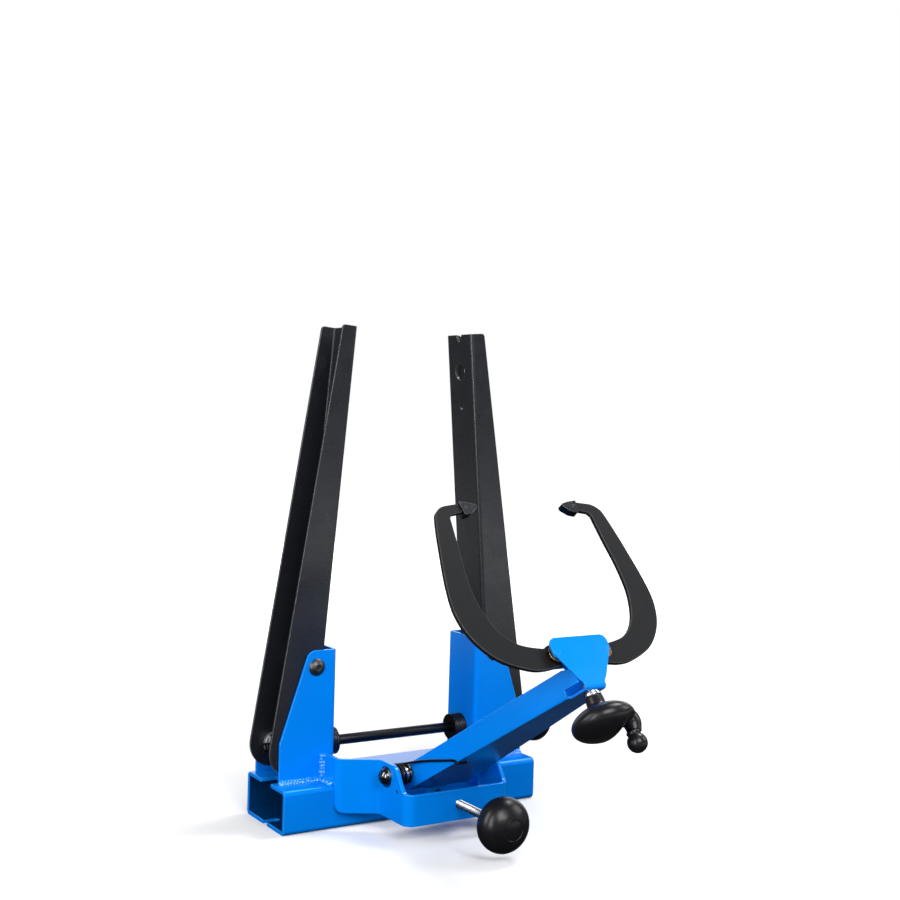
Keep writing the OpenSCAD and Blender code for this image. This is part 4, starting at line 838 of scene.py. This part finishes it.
class STAND_OT_studio(bpy.types.Operator):
    """Pale floor, soft lights and the camera"""

    bl_idname = "stand.studio"
    bl_label = "Studio"

    def execute(self, context):
        studio = context.scene.stand_studio
        self.floor(context, studio)
        self.lights(context, studio)
        self.camera(context, studio)
        return {"FINISHED"}

    def floor(self, context, studio):
        bm = bmesh.new()
        bmesh.ops.create_circle(bm, cap_ends=True, radius=14, segments=96)
        mesh = bpy.data.meshes.new("studio_floor")
        bm.to_mesh(mesh)
        bm.free()
        floor = bpy.data.objects.new("studio_floor", mesh)
        context.scene.collection.objects.link(floor)
        # Seamless paper: matte, with a faint unevenness of tone, glowing white far from the stand
        material, tree, shader = blank("studio_paper")
        place = add(tree, "ShaderNodeTexCoord").outputs["Object"]
        cloud = add(tree, "ShaderNodeTexNoise", {"Vector": place, "Scale": grain(0.9), "Detail": 2.0})
        tone = add(tree, "ShaderNodeMix", {
            0: cloud.outputs["Fac"], 6: rgba(studio.floor, 0.985), 7: rgba(studio.floor)}, data_type="RGBA")
        # The camera sees pale paper, but the stand is lit and mirrored as if on a dark bench in a pale room
        seen = add(tree, "ShaderNodeLightPath").outputs["Is Camera Ray"]
        far = add(tree, "ShaderNodeVectorMath", {0: place}, operation="LENGTH")
        room = add(tree, "ShaderNodeMapRange", {
            "Value": far.outputs["Value"], "From Min": 0.7, "From Max": 1.5,
            "To Min": studio.bounce, "To Max": studio.room}, interpolation_type="SMOOTHSTEP")
        share = add(tree, "ShaderNodeMath", {0: room.outputs["Result"], 1: seen}, operation="MAXIMUM")
        paper = add(tree, "ShaderNodeMix", {
            0: share.outputs[0], 6: (0, 0, 0, 1), 7: tone.outputs[2]}, data_type="RGBA")
        glow = add(tree, "ShaderNodeMapRange", {
            "Value": far.outputs["Value"], "From Min": 0.4, "From Max": 2.6, "To Min": 0.0, "To Max": 1.0},
            interpolation_type="SMOOTHSTEP")
        shown = add(tree, "ShaderNodeMath", {0: glow.outputs["Result"], 1: seen}, operation="MULTIPLY")
        tree.links.new(paper.outputs[2], shader.inputs["Base Color"])
        tree.links.new(shown.outputs[0], shader.inputs["Emission Strength"])
        shader.inputs["Emission Color"].default_value = (1, 1, 1, 1)
        shader.inputs["Roughness"].default_value = 0.9
        shader.inputs["Specular IOR Level"].default_value = 0
        mesh.materials.append(material)

    def lights(self, context, studio):
        world = bpy.data.worlds.new("studio_air")
        context.scene.world = world
        world.use_nodes = True
        tree = world.node_tree
        sky = tree.nodes["Background"]
        sky.inputs["Color"].default_value = rgba(linear("#ffffff"))
        seen = add(tree, "ShaderNodeLightPath").outputs["Is Camera Ray"]
        level = add(tree, "ShaderNodeMapRange", {"Value": seen, "To Min": 0.12 * studio.light, "To Max": 1.0})
        tree.links.new(level.outputs["Result"], sky.inputs["Strength"])
        target = Vector((0, -0.12, 0.25))
        # Place, width and height of each lamp in metres, and its power in watts
        for name, spot, width, height, power in (
                ("key_softbox", Vector((-0.4, -2.3, 1.7)), 1.5, 1.5, 61),
                ("fill_softbox", Vector((2.4, -1.2, 1.6)), 1.4, 1.4, 24),
                ("top_softbox", Vector((1.3, 0.0, 2.4)), 0.9, 0.9, 34),
                ("left_strip", Vector((-2.3, 0.1, 1.2)), 0.8, 1.8, 30),
                ("front_strip", Vector((-2.2, -1.4, 0.8)), 0.55, 1.7, 30),
                ("low_panel", Vector((1.25, -2.0, 0.05)), 1.8, 0.3, 3.6),
                ("backdrop", Vector((1.6, 2.6, 1.1)), 5.0, 2.2, 52)):
            lamp = bpy.data.lights.new(name, "AREA")
            lamp.shape = "RECTANGLE"
            # The lamp's own x points up
            lamp.size = height
            lamp.size_y = width
            lamp.energy = power * studio.light
            light = bpy.data.objects.new(name, lamp)
            light.matrix_world = on_axis(spot, spot - target, UP)
            light.visible_camera = False
            context.scene.collection.objects.link(light)

    def camera(self, context, studio):
        yaw, pitch, roll = studio.yaw, studio.pitch, studio.roll
        ahead = Vector((math.sin(yaw) * math.cos(pitch), math.cos(yaw) * math.cos(pitch), -math.sin(pitch)))
        right = Vector((math.cos(yaw), -math.sin(yaw), 0))
        up = right.cross(ahead)
        across = right * math.cos(roll) + up * math.sin(roll)
        above = up * math.cos(roll) - right * math.sin(roll)
        lens = bpy.data.cameras.new("studio_camera")
        lens.sensor_width = 36
        lens.lens = studio.lens
        camera = bpy.data.objects.new("studio_camera", lens)
        turn = Matrix((across, above, -ahead)).transposed().to_4x4()
        camera.matrix_world = Matrix.Translation(studio.eye) @ turn
        context.scene.collection.objects.link(camera)
        context.scene.camera = camera
        context.scene.view_settings.view_transform = "Standard"


class STAND_PT_panel(bpy.types.Panel):
    """The stand's pieces, sizes, finishes and studio"""

    bl_idname = "STAND_PT_panel"
    bl_label = "Truing Stand"
    bl_space_type = "VIEW_3D"
    bl_region_type = "UI"
    bl_category = "Truing Stand"

    def draw(self, context):
        for group in (context.scene.stand_finishes, context.scene.stand_sizes, context.scene.stand_studio):
            box = self.layout.box()
            for key in group.__annotations__:
                box.prop(group, key)
        for operator in OPERATORS:
            self.layout.operator(operator.bl_idname)


GROUPS = {"stand_finishes": StandFinishes, "stand_sizes": StandSizes, "stand_studio": StandStudio}
OPERATORS = (STAND_OT_studio, STAND_OT_base, STAND_OT_welds, STAND_OT_uprights, STAND_OT_pivots,
             STAND_OT_width_screw, STAND_OT_ball_knobs, STAND_OT_arm, STAND_OT_spring, STAND_OT_fingers,
             STAND_OT_crank, STAND_OT_height)


def register():
    for kind in (*GROUPS.values(), *OPERATORS, STAND_PT_panel):
        bpy.utils.register_class(kind)
    for key, group in GROUPS.items():
        setattr(bpy.types.Scene, key, PointerProperty(type=group))


def unregister():
    for key in GROUPS:
        delattr(bpy.types.Scene, key)
    for kind in (STAND_PT_panel, *reversed(OPERATORS), *GROUPS.values()):
        bpy.utils.unregister_class(kind)


def main():
    register()
    bpy.ops.stand.studio()
    bpy.ops.stand.base()
    bpy.ops.stand.welds()
    bpy.ops.stand.uprights()
    bpy.ops.stand.pivots()
    bpy.ops.stand.width_screw()
    bpy.ops.stand.ball_knobs()
    bpy.ops.stand.arm()
    bpy.ops.stand.spring()
    bpy.ops.stand.fingers()
    bpy.ops.stand.crank()
    bpy.ops.stand.height()


if __name__ == "__main__":
    main()
